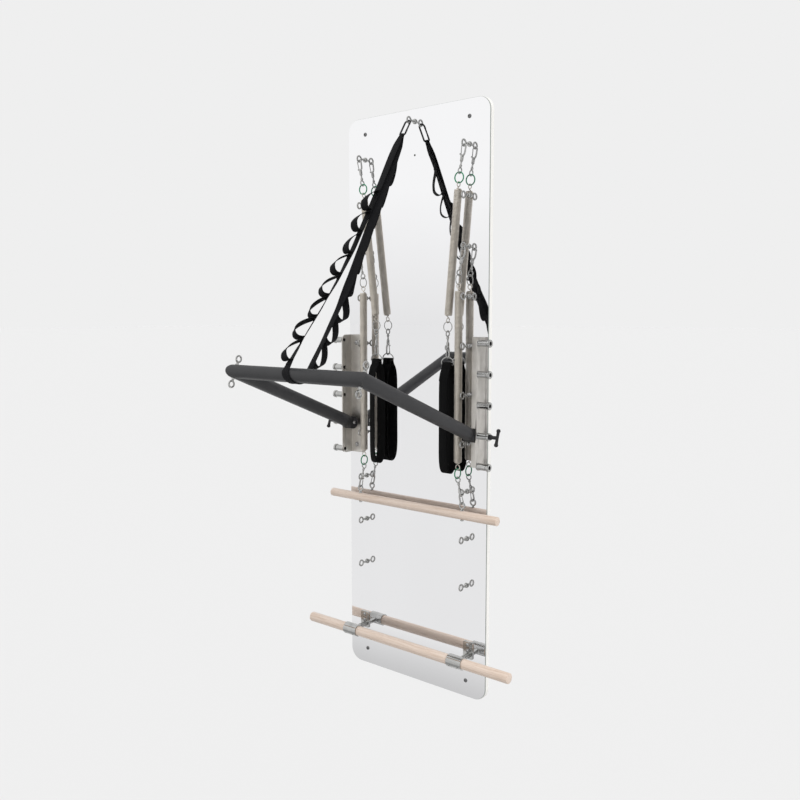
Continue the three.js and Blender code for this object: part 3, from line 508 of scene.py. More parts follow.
def add_floor():
    low = -PANEL_HEIGHT / 2 * MILLIMETRE - FLOOR_DROP
    corners = [(-1, -1), (1, -1), (1, 1), (-1, 1)]
    points = [(x * FLOOR_REACH, y * FLOOR_REACH, low) for x, y in corners]
    mesh = bpy.data.meshes.new("floor")
    mesh.from_pydata(points, [], [(0, 1, 2, 3)])
    floor = bpy.data.objects.new("floor", mesh)
    bpy.context.scene.collection.objects.link(floor)
    material, tree, shader = new_material("pale_floor")
    # A painted shade band across the floor in front of the tower, for the mirror to reflect.
    depth = axis(tree, "Object", "Y")
    begun = blend_range(tree, depth, FLOOR_PAINTED_SHADE_FROM, RISING)
    not_ended = blend_range(tree, depth, FLOOR_PAINTED_SHADE_TO, FALLING)
    tone = mixed(tree, multiplied(tree, begun, not_ended), *FLOOR_PALE_AND_SHADE_TONES)
    finish(tree, shader, tone, FLOOR_ROUGHNESS, {"Specular IOR Level": 0.0})
    mesh.materials.append(material)


def add_room():
    """An even pale room, brighter high behind the camera and darker at its right."""
    world = bpy.data.worlds.new("room")
    bpy.context.scene.world = world
    world.use_nodes = True
    tree = world.node_tree
    height, depth, side = (axis(tree, "Generated", name) for name in "ZYX")
    front = blend_range(tree, height, ROOM_FRONT_HEIGHTS, ROOM_FRONT_VALUES)
    is_front = blend_range(tree, depth, ROOM_FRONT_FROM, RISING)
    is_side = blend_range(tree, side, ROOM_SIDE_FROM, RISING)
    value = mixed(tree, is_side, mixed(tree, is_front, ROOM_VALUE, front), ROOM_SIDE_VALUE)
    feed(tree, tree.nodes["Background"], "Strength", value)
    feed(tree, tree.nodes["Background"], "Color", (1, 1, 1, 1))
    key = bpy.data.lights.new("key", "SUN")
    key.energy = KEY_ENERGY
    key.angle = math.radians(KEY_WIDTH)
    key_light = bpy.data.objects.new("key", key)
    bpy.context.scene.collection.objects.link(key_light)
    key_light.rotation_euler = [math.radians(angle) for angle in KEY_TURN]
    key_light.visible_glossy = False
    bpy.context.scene.view_settings.view_transform = "Standard"


# Materials

def new_material(name):
    material = bpy.data.materials.new(name)
    material.use_nodes = True
    tree = material.node_tree
    return material, tree, tree.nodes["Principled BSDF"]


def finish(tree, shader, color, roughness, others):
    values = {"Base Color": color, "Roughness": roughness, **others}
    for name, value in values.items():
        feed(tree, shader, name, value)


def noise(tree, stretch, scale, detail=NOISE_DETAIL):
    """A noise texture on the piece's own coordinates in metres, stretched along its axes."""
    place_on = add_node(tree, "TexCoord", {}, "Object")
    mapped = add_node(tree, "Mapping", {"Scale": stretch, "Vector": place_on}, "Vector")
    return add_node(tree, "TexNoise", {"Scale": scale, "Detail": detail, "Vector": mapped}, "Fac")


def ramp(tree, value, stops):
    """Colours read from a value, as pairs of position and colour."""
    color = add_node(tree, "ValToRGB", {"Fac": value}, "Color")
    elements = color.node.color_ramp.elements
    while len(elements) < len(stops):
        elements.new(0.5)
    for element, (position, tone) in zip(elements, stops):
        element.position = position
        element.color = (*tone, 1)
    return color


def tinted(tree, value, dark, light, stops=TONE_STOPS):
    return ramp(tree, value, list(zip(stops, (dark, light))))


def bumped(tree, height, strength, distance):
    values = {"Strength": strength, "Distance": distance, "Height": height}
    return {"Normal": add_node(tree, "Bump", values, "Normal")}


def metal(name, dark, light, roughness, stretch=EVEN, scale=METAL_GRAIN_SCALE, grain=METAL_GRAIN):
    """Bare or plated metal with a fine grain along one axis where it is brushed."""
    material, tree, shader = new_material(name)
    color = tinted(tree, noise(tree, EVEN, METAL_TONE_SCALE), dark, light)
    fine = noise(tree, stretch, scale)
    others = {"Metallic": 1.0, **bumped(tree, fine, grain, METAL_BUMP)}
    finish(tree, shader, color, blend_range(tree, fine, WHOLE, roughness), others)
    return material


def coated(name, dark, light, roughness, scale, grain, coat=0.0):
    """Painted, powder coated or moulded surface with a fine texture."""
    material, tree, shader = new_material(name)
    color = tinted(tree, noise(tree, EVEN, COAT_TONE_SCALE), dark, light)
    fine = noise(tree, EVEN, scale, COAT_DETAIL)
    others = {"Coat Weight": coat, **bumped(tree, fine, grain, COAT_BUMP)}
    finish(tree, shader, color, blend_range(tree, fine, WHOLE, roughness), others)
    return material


def mirror_glass():
    material, tree, shader = new_material("silvered_mirror")
    haze = noise(tree, *MIRROR_HAZE)
    roughness = blend_range(tree, haze, WHOLE, MIRROR_ROUGHNESS)
    finish(tree, shader, tinted(tree, haze, *MIRROR_TONES), roughness, {"Metallic": 1.0})
    return material


def maple():
    """Pale close-grained wood whose grain runs along X."""
    material, tree, shader = new_material("maple")
    grain = noise(tree, *MAPLE_GRAIN)
    pores = noise(tree, *MAPLE_PORES)
    flecks = tinted(tree, pores, *MAPLE_FLECKS)
    color = shaded(tree, MAPLE_FLECK_SHARE, ramp(tree, grain, MAPLE_TONES), flecks)
    others = {**MAPLE_LACQUER, **bumped(tree, pores, *MAPLE_BUMP)}
    finish(tree, shader, color, blend_range(tree, grain, WHOLE, MAPLE_ROUGHNESS), others)
    return material


def laminate():
    """Cream board, with a faint fibre in its edge."""
    material, tree, shader = new_material("cream_board")
    fibre = noise(tree, *BOARD_FIBRE)
    color = tinted(tree, fibre, *BOARD_TONES)
    others = bumped(tree, fibre, *BOARD_BUMP)
    finish(tree, shader, color, blend_range(tree, fibre, WHOLE, BOARD_ROUGHNESS), others)
    return material


def webbing(name, dark, light, rib, roughness=0.75):
    """Woven tape: ribs across it and wales along it, from the cloth map in metres."""
    material, tree, shader = new_material(name)
    cloth = add_node(tree, "UVMap", {}, "UV", uv_map="cloth")
    heights = []
    for direction, size in (("X", rib * WEAVE_WALE_SHARE), ("Y", rib)):
        values = {"Scale": WEAVE_BAND_SCALE / size, **WEAVE_BANDS, "Vector": cloth}
        bands = {"wave_type": "BANDS", "bands_direction": direction}
        heights.append(add_node(tree, "TexWave", values, "Fac", **bands))
    weave = multiplied(tree, *heights)
    wear = tinted(tree, noise(tree, EVEN, WEAR_SCALE), *WEAR_TONES)
    color = shaded(tree, WEAR_SHARE, tinted(tree, weave, dark, light, WEAVE_STOPS), wear)
    others = {"Specular IOR Level": WEAVE_SHEEN, **bumped(tree, weave, *WEAVE_BUMP)}
    finish(tree, shader, color, roughness, others)
    return material


def make_materials():
    materials = {"mirror": mirror_glass(), "board": laminate(), "maple": maple()}
    for make, finishes in ((metal, METALS), (coated, COATINGS), (webbing, WEBBINGS)):
        for key, values in finishes.items():
            materials[key] = make(*values)
    return materials


# Mesh building

class Shape:
    """Points and faces gathered in millimetres. Cloth faces also carry their corners' map."""

    def __init__(self):
        self.points = []
        self.faces = []
        self.maps = []

    def add(self, points, faces, maps=None):
        first = len(self.points)
        self.points.extend(points)
        self.faces.extend([tuple(first + i for i in face) for face in faces])
        self.maps.extend(maps or [None] * len(faces))


def metres(p):
    """A point of the tower's frame as the scene's own place."""
    x, y, z = p.x, p.y - PANEL_DEPTH, p.z - PANEL_HEIGHT / 2
    return x * MILLIMETRE, y * MILLIMETRE, z * MILLIMETRE


def make_piece(name, shape, material, sharp=SHARP):
    mesh = bpy.data.meshes.new(name)
    mesh.from_pydata([metres(p) for p in shape.points], [], shape.faces)
    if any(shape.maps):
        layer = mesh.uv_layers.new(name="cloth")
        for polygon, corners in zip(mesh.polygons, shape.maps):
            for loop, (u, v) in zip(polygon.loop_indices, corners):
                layer.data[loop].uv = (u * MILLIMETRE, v * MILLIMETRE)
    piece = bpy.data.objects.new(name, mesh)
    bpy.context.scene.collection.objects.link(piece)
    mesh.materials.append(material)
    finish_mesh(mesh, sharp)
    return piece


def place(piece, body, slot, *nodes):
    """Lets the piece ride a body, and hides the solids that it stands for. The slot is not used."""
    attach(piece, body)
    if nodes:
        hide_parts(*nodes)
    return piece


def add_piece(name, shape, material, body, slot, *nodes, sharp=SHARP):
    return place(make_piece(name, shape, material, sharp), body, slot, *nodes)


def finish_mesh(mesh, sharp):
    """Faces out and smooth, with a hard edge wherever two faces meet at more than the sharp angle."""
    work = bmesh.new()
    work.from_mesh(mesh)
    bmesh.ops.recalc_face_normals(work, faces=work.faces)
    limit = math.radians(sharp)
    for face in work.faces:
        face.smooth = True
    for edge in work.edges:
        if len(edge.link_faces) == 2 and edge.calc_face_angle(0) > limit:
            edge.smooth = False
    work.to_mesh(mesh)
    work.free()


def cross_directions(direction):
    guide = RIGHT if abs(direction.z) > 0.9 else UP
    first = guide.cross(direction).normalized()
    return first, direction.cross(first).normalized()


def ring_points(centre, first, second, radius, sides):
    points = []
    for i in range(sides):
        angle = i / sides * 2 * math.pi
        points.append(centre + first * radius * math.cos(angle) + second * radius * math.sin(angle))
    return points


def grid_faces(rings, sides, closed):
    """Four-sided faces between rings of points that follow each other in one list."""
    faces = []
    for i in range(rings if closed else rings - 1):
        for j in range(sides):
            this_row = i * sides
            next_row = (i + 1) % rings * sides
            k = (j + 1) % sides
            faces.append((this_row + j, this_row + k, next_row + k, next_row + j))
    return faces


def end_faces(rings, sides):
    last = (rings - 1) * sides
    return [tuple(reversed(range(sides))), tuple(range(last, last + sides))]


def add_skin(shape, rings, closed=False):
    sides = len(rings[0])
    faces = grid_faces(len(rings), sides, closed)
    if not closed:
        faces += end_faces(len(rings), sides)
    shape.add([p for ring in rings for p in ring], faces)


def add_turned(shape, start, direction, profile, sides, closed=False):
    """A turned solid: pairs of radius and distance along an axis."""
    first, second = cross_directions(direction)
    rings = [
        ring_points(start + direction * distance, first, second, radius, sides)
        for radius, distance in profile
    ]
    add_skin(shape, rings, closed)


def add_rod(shape, start, end, radius, sides, edge=0.4):
    direction = end - start
    length = direction.length
    profile = [(radius - edge, 0), (radius, edge), (radius, length - edge), (radius - edge, length)]
    add_turned(shape, start, direction.normalized(), profile, sides)


def add_nut(shape, start, direction, across_flats, length):
    corner = across_flats / 2 / math.cos(math.pi / 6)
    chamfer = corner * NUT_CHAMFER_SHARE
    drop = chamfer * NUT_CHAMFER_SLOPE
    cut = corner - chamfer
    profile = [(cut, 0), (corner, drop), (corner, length - drop), (cut, length)]
    add_turned(shape, start, direction, profile, 6)


def add_ball(shape, centre, direction, radius, sides=20, rows=10, squeeze=1.0):
    profile = []
    for row in range(rows + 1):
        angle = math.pi * row / rows
        wide = max(radius * math.sin(angle), POLE_RADIUS)
        profile.append((wide, -radius * squeeze * math.cos(angle)))
    add_turned(shape, centre, direction, profile, sides)


def path_tangents(path, closed):
    count = len(path)
    tangents = []
    for i in range(count):
        before = path[i - 1] if closed or i else path[0]
        after = path[(i + 1) % count] if closed or i < count - 1 else path[-1]
        tangents.append((after - before).normalized())
    return tangents


def add_tube(shape, path, radius, sides, closed=False, radii=None):
    """A round wire along a path, whose rings are carried on without twist."""
    tangents = path_tangents(path, closed)
    first = cross_directions(tangents[0])[0]
    rings = []
    for i, tangent in enumerate(tangents):
        turn = tangents[max(i - 1, 0)].rotation_difference(tangent)
        first = (turn @ first).normalized()
        second = tangent.cross(first).normalized()
        width = radii[i] if radii else radius
        rings.append(ring_points(path[i], first, second, width, sides))
    if closed:
        close_twist(rings, path, tangents, first)
    add_skin(shape, rings, closed)


def close_twist(rings, path, tangents, last_first):
    """Turns the order of points along a closed wire, so that its last ring meets its first."""
    start = (rings[0][0] - path[0]).normalized()
    turn = tangents[-1].rotation_difference(tangents[0])
    carried = (turn @ last_first).normalized()
    angle = math.atan2(carried.cross(start).dot(tangents[0]), carried.dot(start))
    for i, ring in enumerate(rings):
        share = angle * i / len(rings)
        spin = Quaternion(tangents[i], share)
        rings[i] = [path[i] + spin @ (p - path[i]) for p in ring]


def add_link(shape, centre, normal, radius, wire, steps=40, sides=12):
    first, second = cross_directions(normal)
    add_tube(shape, ring_points(centre, first, second, radius, steps), wire, sides, True)


def arc(centre, first, second, radius, start, end, steps):
    points = []
    for i in range(steps + 1):
        angle = math.radians(start + (end - start) * i / steps)
        points.append(centre + first * radius * math.cos(angle) + second * radius * math.sin(angle))
    return points


def smooth_path(points, steps):
    """A curve through all the points."""
    padded = [2 * points[0] - points[1], *points, 2 * points[-1] - points[-2]]
    path = []
    for i in range(len(points) - 1):
        a, b, c, d = padded[i : i + 4]
        for step in range(steps):
            t = step / steps
            squared = (2 * a - 5 * b + 4 * c - d) * t * t
            cubed = (3 * b - a - 3 * c + d) * t * t * t
            path.append(0.5 * (2 * b + (c - a) * t + squared + cubed))
    path.append(points[-1])
    return path


def tape_section():
    """The tape's outline, in shares of its width and of its thickness."""
    upper = list(zip(TAPE_EDGE_SHARES, TAPE_FACE_SHARES))
    return upper + [(e, -f) for e, f in reversed(upper[1:-1])]


def add_band(shape, path, across, widths, thickness, closed=False):
    """A flat woven tape along a path: rounded at its selvedges, with its cloth map in millimetres."""
    outline = tape_section()
    count = len(path)
    spans = count if closed else count - 1
    lengths = [0.0]
    for i in range(spans):
        lengths.append(lengths[-1] + (path[(i + 1) % count] - path[i]).length)
    rings = []
    for i, tangent in enumerate(path_tangents(path, closed)):
        side = (across[i] - tangent * across[i].dot(tangent)).normalized()
        face = tangent.cross(side).normalized()
        rings.append([path[i] + side * e * widths[i] + face * f * thickness for e, f in outline])
    faces = grid_faces(count, len(outline), closed)
    maps = []
    for i in range(spans):
        low, high = lengths[i], lengths[i + 1]
        for (this_edge, _), (next_edge, _) in zip(outline, outline[1:] + outline[:1]):
            here, there = this_edge * widths[i], next_edge * widths[i]
            maps.append([(here, low), (there, low), (there, high), (here, high)])
    if not closed:
        faces += end_faces(count, len(outline))
        maps.append([(e * widths[0], 0.0) for e, f in reversed(outline)])
        maps.append([(e * widths[-1], lengths[-1]) for e, f in outline])
    shape.add([p for ring in rings for p in ring], faces, maps)


def bored(piece, holes):
    """The piece with round holes through it, as triples of start, end and radius."""
    for start, end, radius in holes:
        reach = end - start
        tool_shape = Shape()
        profile = [(radius, 0), (radius, reach.length)]
        add_turned(tool_shape, start, reach.normalized(), profile, 32)
        subtract(piece, make_piece("hole_tool", tool_shape, piece.data.materials[0]))
    return piece


def subtract(piece, tool):
    modifier = piece.modifiers.new("cut", "BOOLEAN")
    modifier.operation = "DIFFERENCE"
    modifier.object = tool
    modifier.solver = "EXACT"
    apply_modifiers(piece)
    bpy.data.objects.remove(tool)


def apply_modifiers(piece):
    graph = bpy.context.evaluated_depsgraph_get()
    evaluated = piece.evaluated_get(graph)
    mesh = bpy.data.meshes.new_from_object(evaluated)
    piece.modifiers.clear()
    old = piece.data
    piece.data = mesh
    bpy.data.meshes.remove(old)


def soften(piece, width):
    modifier = piece.modifiers.new("soften", "BEVEL")
    modifier.width = width * MILLIMETRE
    modifier.segments = SOFTEN_SEGMENTS
    modifier.limit_method = "ANGLE"
    modifier.angle_limit = math.radians(SOFTEN_ANGLE)
    modifier.harden_normals = False
    apply_modifiers(piece)
    finish_mesh(piece.data, SHARP_BEVEL)


# Panel

def rounded_outline(centre_x, centre_z, width, height, corner, radius, steps, y):
    """A rectangle in the wall's plane with round corners, drawn at a radius about their centres."""
    points = []
    for quarter, (side_x, side_z) in enumerate([(1, 1), (-1, 1), (-1, -1), (1, -1)]):
        corner_x = centre_x + side_x * (width / 2 - corner)
        corner_z = centre_z + side_z * (height / 2 - corner)
        for step in range(steps + 1):
            angle = (quarter + step / steps) * math.pi / 2
            across = radius * math.cos(angle)
            points.append(Vector((corner_x + across, y, corner_z + radius * math.sin(angle))))
    return points


def panel_sheet(inset, front, back):
    width = PANEL_WIDTH - 2 * inset
    height = PANEL_HEIGHT - 2 * inset
    corner = PANEL_CORNER_RADIUS
    soft = PANEL_EDGE_SOFTENING
    depths = ((front, soft), (front + soft, 0), (back - soft, 0), (back, soft))
    rings = [
        rounded_outline(0, PANEL_HEIGHT / 2, width, height, corner, corner - trim, PANEL_CORNER_STEPS, y)
        for y, trim in depths
    ]
    shape = Shape()
    add_skin(shape, rings)
    return shape


def add_panel(materials):
    hole_x, hole_z = SPARE_HOLE
    start = Vector((hole_x, -1, hole_z))
    end = Vector((hole_x, SPARE_HOLE_DEPTH, hole_z))
    hole = (start, end, SPARE_HOLE_RADIUS)
    sheet = panel_sheet(MIRROR_INSET, 0, MIRROR_THICKNESS)
    mirror = bored(make_piece("mirror_sheet", sheet, materials["mirror"]), [hole])
    finish_mesh(mirror.data, SHARP_MIRROR)
    mirror.data.materials.append(materials["mirror_edge"])
    for polygon in mirror.data.polygons:
        polygon.material_index = 0 if polygon.normal.y < MIRROR_FACING else 1
    place(mirror, "tower", "mirror", "mirror_panel")
    sheet = panel_sheet(0, MIRROR_THICKNESS + SEAT, PANEL_DEPTH)
    board = bored(make_piece("backing_sheet", sheet, materials["board"]), [hole])
    finish_mesh(board.data, SHARP_BOARD)
    place(board, "tower", "board", "backing_board")


def button_head(shape, centre, direction, radius, height):
    """A domed screw head, seen from the end of its direction, and the radius of its socket."""
    socket = radius * SOCKET_SHARE
    profile = [(radius * wide, height * high) for wide, high in HEAD_PROFILE_SHARES]
    add_turned(shape, centre, direction, [*profile, (socket, height)], HEAD_SIDES)
    return socket


def add_fastener(name, centre, size, material, washer=0.0):
    """A screw head on a wall face, of a radius and height, on a washer where it has one."""
    radius, height = size
    direction = -INTO_WALL
    shape = Shape()
    start = centre
    if washer:
        start = centre + direction * BOLT_WASHER_THICKNESS
        add_rod(shape, centre, start, washer, HEAD_SIDES, WASHER_EDGE)
    socket = button_head(shape, start, direction, radius, height)
    piece = make_piece(name, shape, material)
    tool_shape = Shape()
    deep = start + direction * height * SOCKET_DEPTH_SHARE
    key = socket * SOCKET_KEY_SHARE
    add_turned(tool_shape, deep, direction, [(key, 0), (key, height)], 6)
    subtract(piece, make_piece("socket_tool", tool_shape, material))
    finish_mesh(piece.data, SHARP)
    place(piece, "tower", "chrome")


def add_panel_screws(materials):
    for side, sign in SIDES.items():
        for row, z in enumerate(SCREW_ROWS_Z):
            centre = Vector((sign * SCREW_COLUMN_X, PANEL_SCREW_SEAT, z))
            name = f"panel_screw_{row + 1}_{side}"
            add_fastener(name, centre, PANEL_SCREW, materials["screw"])


# Eye bolts

def eye_shape(centre, towards, ring_normal, foot):
    """A forged eye: its ring, the shoulder under it and the shank as far as the foot."""
    shape = Shape()
    add_link(shape, centre, ring_normal, EYE_RING_RADIUS, EYE_WIRE_RADIUS)
    reach = (foot - centre).length
    profile = [(EYE_WIRE_RADIUS * share, EYE_RING_RADIUS + rise) for share, rise in EYE_SHOULDER]
    profile.append((EYE_WIRE_RADIUS * EYE_SHANK_SHARE, reach))
    add_turned(shape, centre, towards, profile, 24)
    return shape


def add_wall_eye(name, x, z, materials, *nodes):
    shape = eye_shape(Vector((x, -EYE_REACH, z)), INTO_WALL, RIGHT, Vector((x, 0, z)))
    add_nut(shape, Vector((x, EYE_NUT_Y, z)), INTO_WALL, EYE_NUT_FLATS, EYE_NUT_LENGTH)
    washer_start, washer_end = (Vector((x, y, z)) for y in EYE_WASHER_YS)
    add_rod(shape, washer_start, washer_end, EYE_WASHER_RADIUS, 32)
    add_piece(name, shape, materials["chrome"], "tower", "chrome", *nodes)


def eye_row_z(row):
    return EYE_TOP_ROW_Z - (row - 1) * EYE_ROW_PITCH


def add_wall_eyes(materials):
    for row in EYE_ROWS:
        for side, sign in SIDES.items():
            nodes = [f"wall_eye_{row}_{side}"] if row in EYE_ROWS_IN_FRAME else []
            x = sign * EYE_COLUMN_X
            add_wall_eye(f"eye_bolt_{row}_{side}", x, eye_row_z(row), materials, *nodes)
    add_wall_eye("eye_bolt_top", 0.0, TOP_EYE_Z, materials, "top_eye")


# Brackets

def angle_profile(sign, z):
    """The bent angle in plan: along the mirror, round the bend, and out along the web."""
    back = -SEAT
    front = back - BRACKET_STEEL
    outer = BRACKET_OUTER_X
    inner = outer - BRACKET_STEEL
    bend = BRACKET_BEND_RADIUS
    steps = BRACKET_BEND_STEPS
    points = [(outer - BRACKET_FLANGE_WIDTH, back)]
    for i in range(steps + 1):
        angle = math.pi / 2 * i / steps
        points.append((outer - bend + bend * math.sin(angle), back - bend + bend * math.cos(angle)))
    points.append((outer, -BRACKET_WEB_DEPTH))
    points.append((inner, -BRACKET_WEB_DEPTH))
    small = bend - BRACKET_STEEL
    for i in range(steps + 1):
        angle = math.pi / 2 * (1 - i / steps)
        across = inner - small + small * math.sin(angle)
        points.append((across, front - small + small * math.cos(angle)))
    points.append((outer - BRACKET_FLANGE_WIDTH, front))
    return [Vector((sign * x, y, z)) for x, y in points]


def corner_tool(sign, corner_z, upwards):
    """A block that leaves the web's front corner rounded."""
    radius = BRACKET_CORNER_RADIUS
    centre_y = -BRACKET_WEB_DEPTH + radius
    centre_z = corner_z - upwards * radius
    points = [(centre_y - 2 * radius, centre_z + upwards * 2 * radius)]
    points.append((centre_y, centre_z + upwards * 2 * radius))
    for i in range(BRACKET_CORNER_STEPS + 1):
        angle = math.pi / 2 * i / BRACKET_CORNER_STEPS
        y = centre_y - radius * math.sin(angle)
        points.append((y, centre_z + upwards * radius * math.cos(angle)))
    points.append((centre_y - 2 * radius, centre_z))
    shape = Shape()
    low = BRACKET_OUTER_X - 3 * BRACKET_STEEL
    high = BRACKET_OUTER_X + 2 * BRACKET_STEEL
    add_skin(shape, [[Vector((sign * x, y, z)) for y, z in points] for x in (low, high)])
    return shape


def sleeve_shape(sign, z):
    bore = PIN_RADIUS + SEAT
    collar = SLEEVE_LENGTH - SLEEVE_COLLAR_LENGTH
    flare, flare_length = SLEEVE_FLARE
    groove = SLEEVE_RADIUS - SLEEVE_GROOVE_DEPTH
    edge = SLEEVE_COLLAR_EDGE
    mouth = SLEEVE_MOUTH_EDGE
    before_groove, groove_start, groove_end = (collar - gap for gap in SLEEVE_GROOVE_GAPS)
    profile = [
        (bore, 0),
        (SLEEVE_RADIUS + flare, 0),
        (SLEEVE_RADIUS, flare_length),
        (SLEEVE_RADIUS, before_groove),
        (groove, groove_start),
        (groove, groove_end),
        (SLEEVE_COLLAR_RADIUS, collar),
        (SLEEVE_COLLAR_RADIUS, SLEEVE_LENGTH - edge),
        (SLEEVE_COLLAR_RADIUS - edge, SLEEVE_LENGTH),
        (bore + mouth, SLEEVE_LENGTH),
        (bore, SLEEVE_LENGTH - mouth),
    ]
    shape = Shape()
    start = Vector((sign * BRACKET_OUTER_X, -SLEEVE_REACH, z))
    add_turned(shape, start, RIGHT * sign, profile, 40, True)
    return shape


def paint_bore_shade(piece, material):
    """Paints shade into the sleeves' bores: their inner faces get the near-black bore_shade finish, a
    painted shade.
    """
    piece.data.materials.append(material)
    reach = (PIN_RADIUS + SEAT + BORE_MARGIN) * MILLIMETRE
    rows = [metres(Vector((0, -SLEEVE_REACH, z))) for z in SLEEVE_ROWS_Z]
    for polygon in piece.data.polygons:
        centre = polygon.center
        distance = min(math.hypot(centre.y - y, centre.z - z) for _, y, z in rows)
        if distance < reach and abs(polygon.normal.x) < BORE_FACING:
            polygon.material_index = 1


def add_bracket(side, sign, materials):
    shape = Shape()
    top_z = BRACKET_BOTTOM_Z + BRACKET_HEIGHT
    add_skin(shape, [angle_profile(sign, BRACKET_BOTTOM_Z), angle_profile(sign, top_z)])
    angle = make_piece(f"bracket_angle_{side}", shape, materials["brushed"])
    for corner_z, upwards in ((BRACKET_BOTTOM_Z, -1), (top_z, 1)):
        tool = make_piece("corner_tool", corner_tool(sign, corner_z, upwards), materials["brushed"])
        subtract(angle, tool)
    inner = sign * (BRACKET_OUTER_X - 3 * BRACKET_STEEL)
    outer = sign * (BRACKET_OUTER_X + 2 * BRACKET_STEEL)
    holes = [
        (Vector((inner, -SLEEVE_REACH, z)), Vector((outer, -SLEEVE_REACH, z)), PIN_RADIUS + SEAT)
        for z in SLEEVE_ROWS_Z
    ]
    bored(angle, holes)
    soften(angle, BRACKET_EDGE)
    place(angle, "tower", "bracket_steel", f"bracket_{side}")
    sleeves = Shape()
    for z in SLEEVE_ROWS_Z:
        one = sleeve_shape(sign, z)
        sleeves.add(one.points, one.faces)
    name = f"bracket_sleeves_{side}"
    piece = add_piece(name, sleeves, materials["chrome"], "tower", "bracket_steel")
    # Painted shade on the sleeves' inner faces.
    paint_bore_shade(piece, materials["bore"])
    for row, z in enumerate(BRACKET_BOLTS_Z):
        centre = Vector((sign * BRACKET_BOLT_X, -SEAT - BRACKET_STEEL, z))
        name = f"bracket_bolt_{row + 1}_{side}"
        add_fastener(name, centre, BRACKET_BOLT, materials["bolt"], BOLT_WASHER_RADIUS)


# Push bar. Its plane is level until lifted() turns it about the pins to its rest angle.

def lifted(shape):
    turn = Quaternion(RIGHT, math.radians(-PUSH_RISE))
    pivot = Vector((0, -SLEEVE_REACH, PIVOT_Z))
    shape.points = [pivot + turn @ p for p in shape.points]
    return shape


def push_ring(x, y, sideways, forwards, radius):
    points = []
    for i in range(PUSH_SIDES):
        angle = i / PUSH_SIDES * 2 * math.pi
        across = radius * math.cos(angle)
        points.append(Vector((x + across * sideways, y + across * forwards, radius * math.sin(angle))))
    return points


def add_push_bar(materials):
    shape = Shape()
    start = -PLUG_NECK_LENGTH
    corner = -PUSH_ARM_LENGTH
    x = PUSH_ARM_X
    radius = PUSH_TUBE_RADIUS
    edge = PUSH_TUBE_EDGE
    rings = [
        push_ring(-x, start, 1, 0, radius - edge),
        push_ring(-x, start - edge, 1, 0, radius),
        push_ring(-x, corner, 1, 1, radius),
        push_ring(x, corner, -1, 1, radius),
        push_ring(x, start - edge, -1, 0, radius),
        push_ring(x, start, -1, 0, radius - edge),
    ]
    add_skin(shape, rings)
    add_piece(
        "push_bar_tube",
        lifted(shape),
        materials["charcoal"],
        "push_bar_frame",
        "charcoal_tube",
        "push_bar",
        sharp=SHARP_TUBE,
    )


def add_push_bar_end(side, sign, materials):
    outwards = RIGHT * sign
    length = 2 * PUSH_TUBE_RADIUS
    hole, hole_depth = PLUG_PIN_HOLE
    rim = [(PLUG_BARREL_RADIUS - trim, distance) for trim, distance in PLUG_RIM]
    far_rim = [(radius, length - distance) for radius, distance in reversed(rim)]
    profile = [PLUG_CORE, *rim, *far_rim, (hole, length), (hole, length - hole_depth)]
    shape = Shape()
    inner = Vector((sign * (PUSH_ARM_X - PUSH_TUBE_RADIUS), 0, 0))
    add_turned(shape, inner, outwards, profile, PUSH_SIDES)
    middle = Vector((sign * PUSH_ARM_X, 0, 0))
    add_turned(shape, middle, -INTO_WALL, PLUG_NECK_PROFILE, PUSH_SIDES)
    plug = make_piece(f"push_bar_plug_{side}", lifted(shape), materials["plastic"])
    place(plug, "push_bar_frame", "black_plastic", f"push_bar_end_{side}")
    screw = Shape()
    sunk, proud = PLUG_SCREW_REACH
    dome, dome_place = PLUG_SCREW_DOME
    add_rod(screw, inner + outwards * sunk, inner - outwards * proud, PLUG_SCREW_RADIUS, 32, 0.5)
    add_ball(screw, inner - outwards * dome_place, -outwards, dome, 24, 8, 0.6)
    head = make_piece(f"push_bar_plug_pin_{side}", lifted(screw), materials["bolt"])
    place(head, "push_bar_frame", "chrome")


def add_push_bar_eyes(side, sign, materials):
    shape = Shape()
    middle = Vector((sign * PUSH_ARM_X, -PUSH_ARM_LENGTH, 0))
    for direction in (UP, DOWN):
        centre = middle + direction * PUSH_EYE_OFFSET
        foot = middle + direction * (PUSH_TUBE_RADIUS - PUSH_EYE_SUNK)
        one = eye_shape(centre, -direction, RIGHT, foot)
        shape.add(one.points, one.faces)
        nut = middle + direction * (PUSH_TUBE_RADIUS + BAR_WASHER_PROUD)
        add_nut(shape, nut, direction, PUSH_NUT_FLATS, PUSH_NUT_LENGTH)
        washer = middle + direction * (PUSH_TUBE_RADIUS - BAR_WASHER_SUNK)
        washer_end = washer + direction * (BAR_WASHER_SUNK + BAR_WASHER_PROUD)
        add_rod(shape, washer, washer_end, BAR_WASHER_RADIUS, PIN_SIDES, WASHER_EDGE)
    piece = make_piece(f"push_bar_eye_bolts_{side}", lifted(shape), materials["chrome"])
    place(piece, "push_bar_frame", "chrome", f"push_bar_eye_{side}")


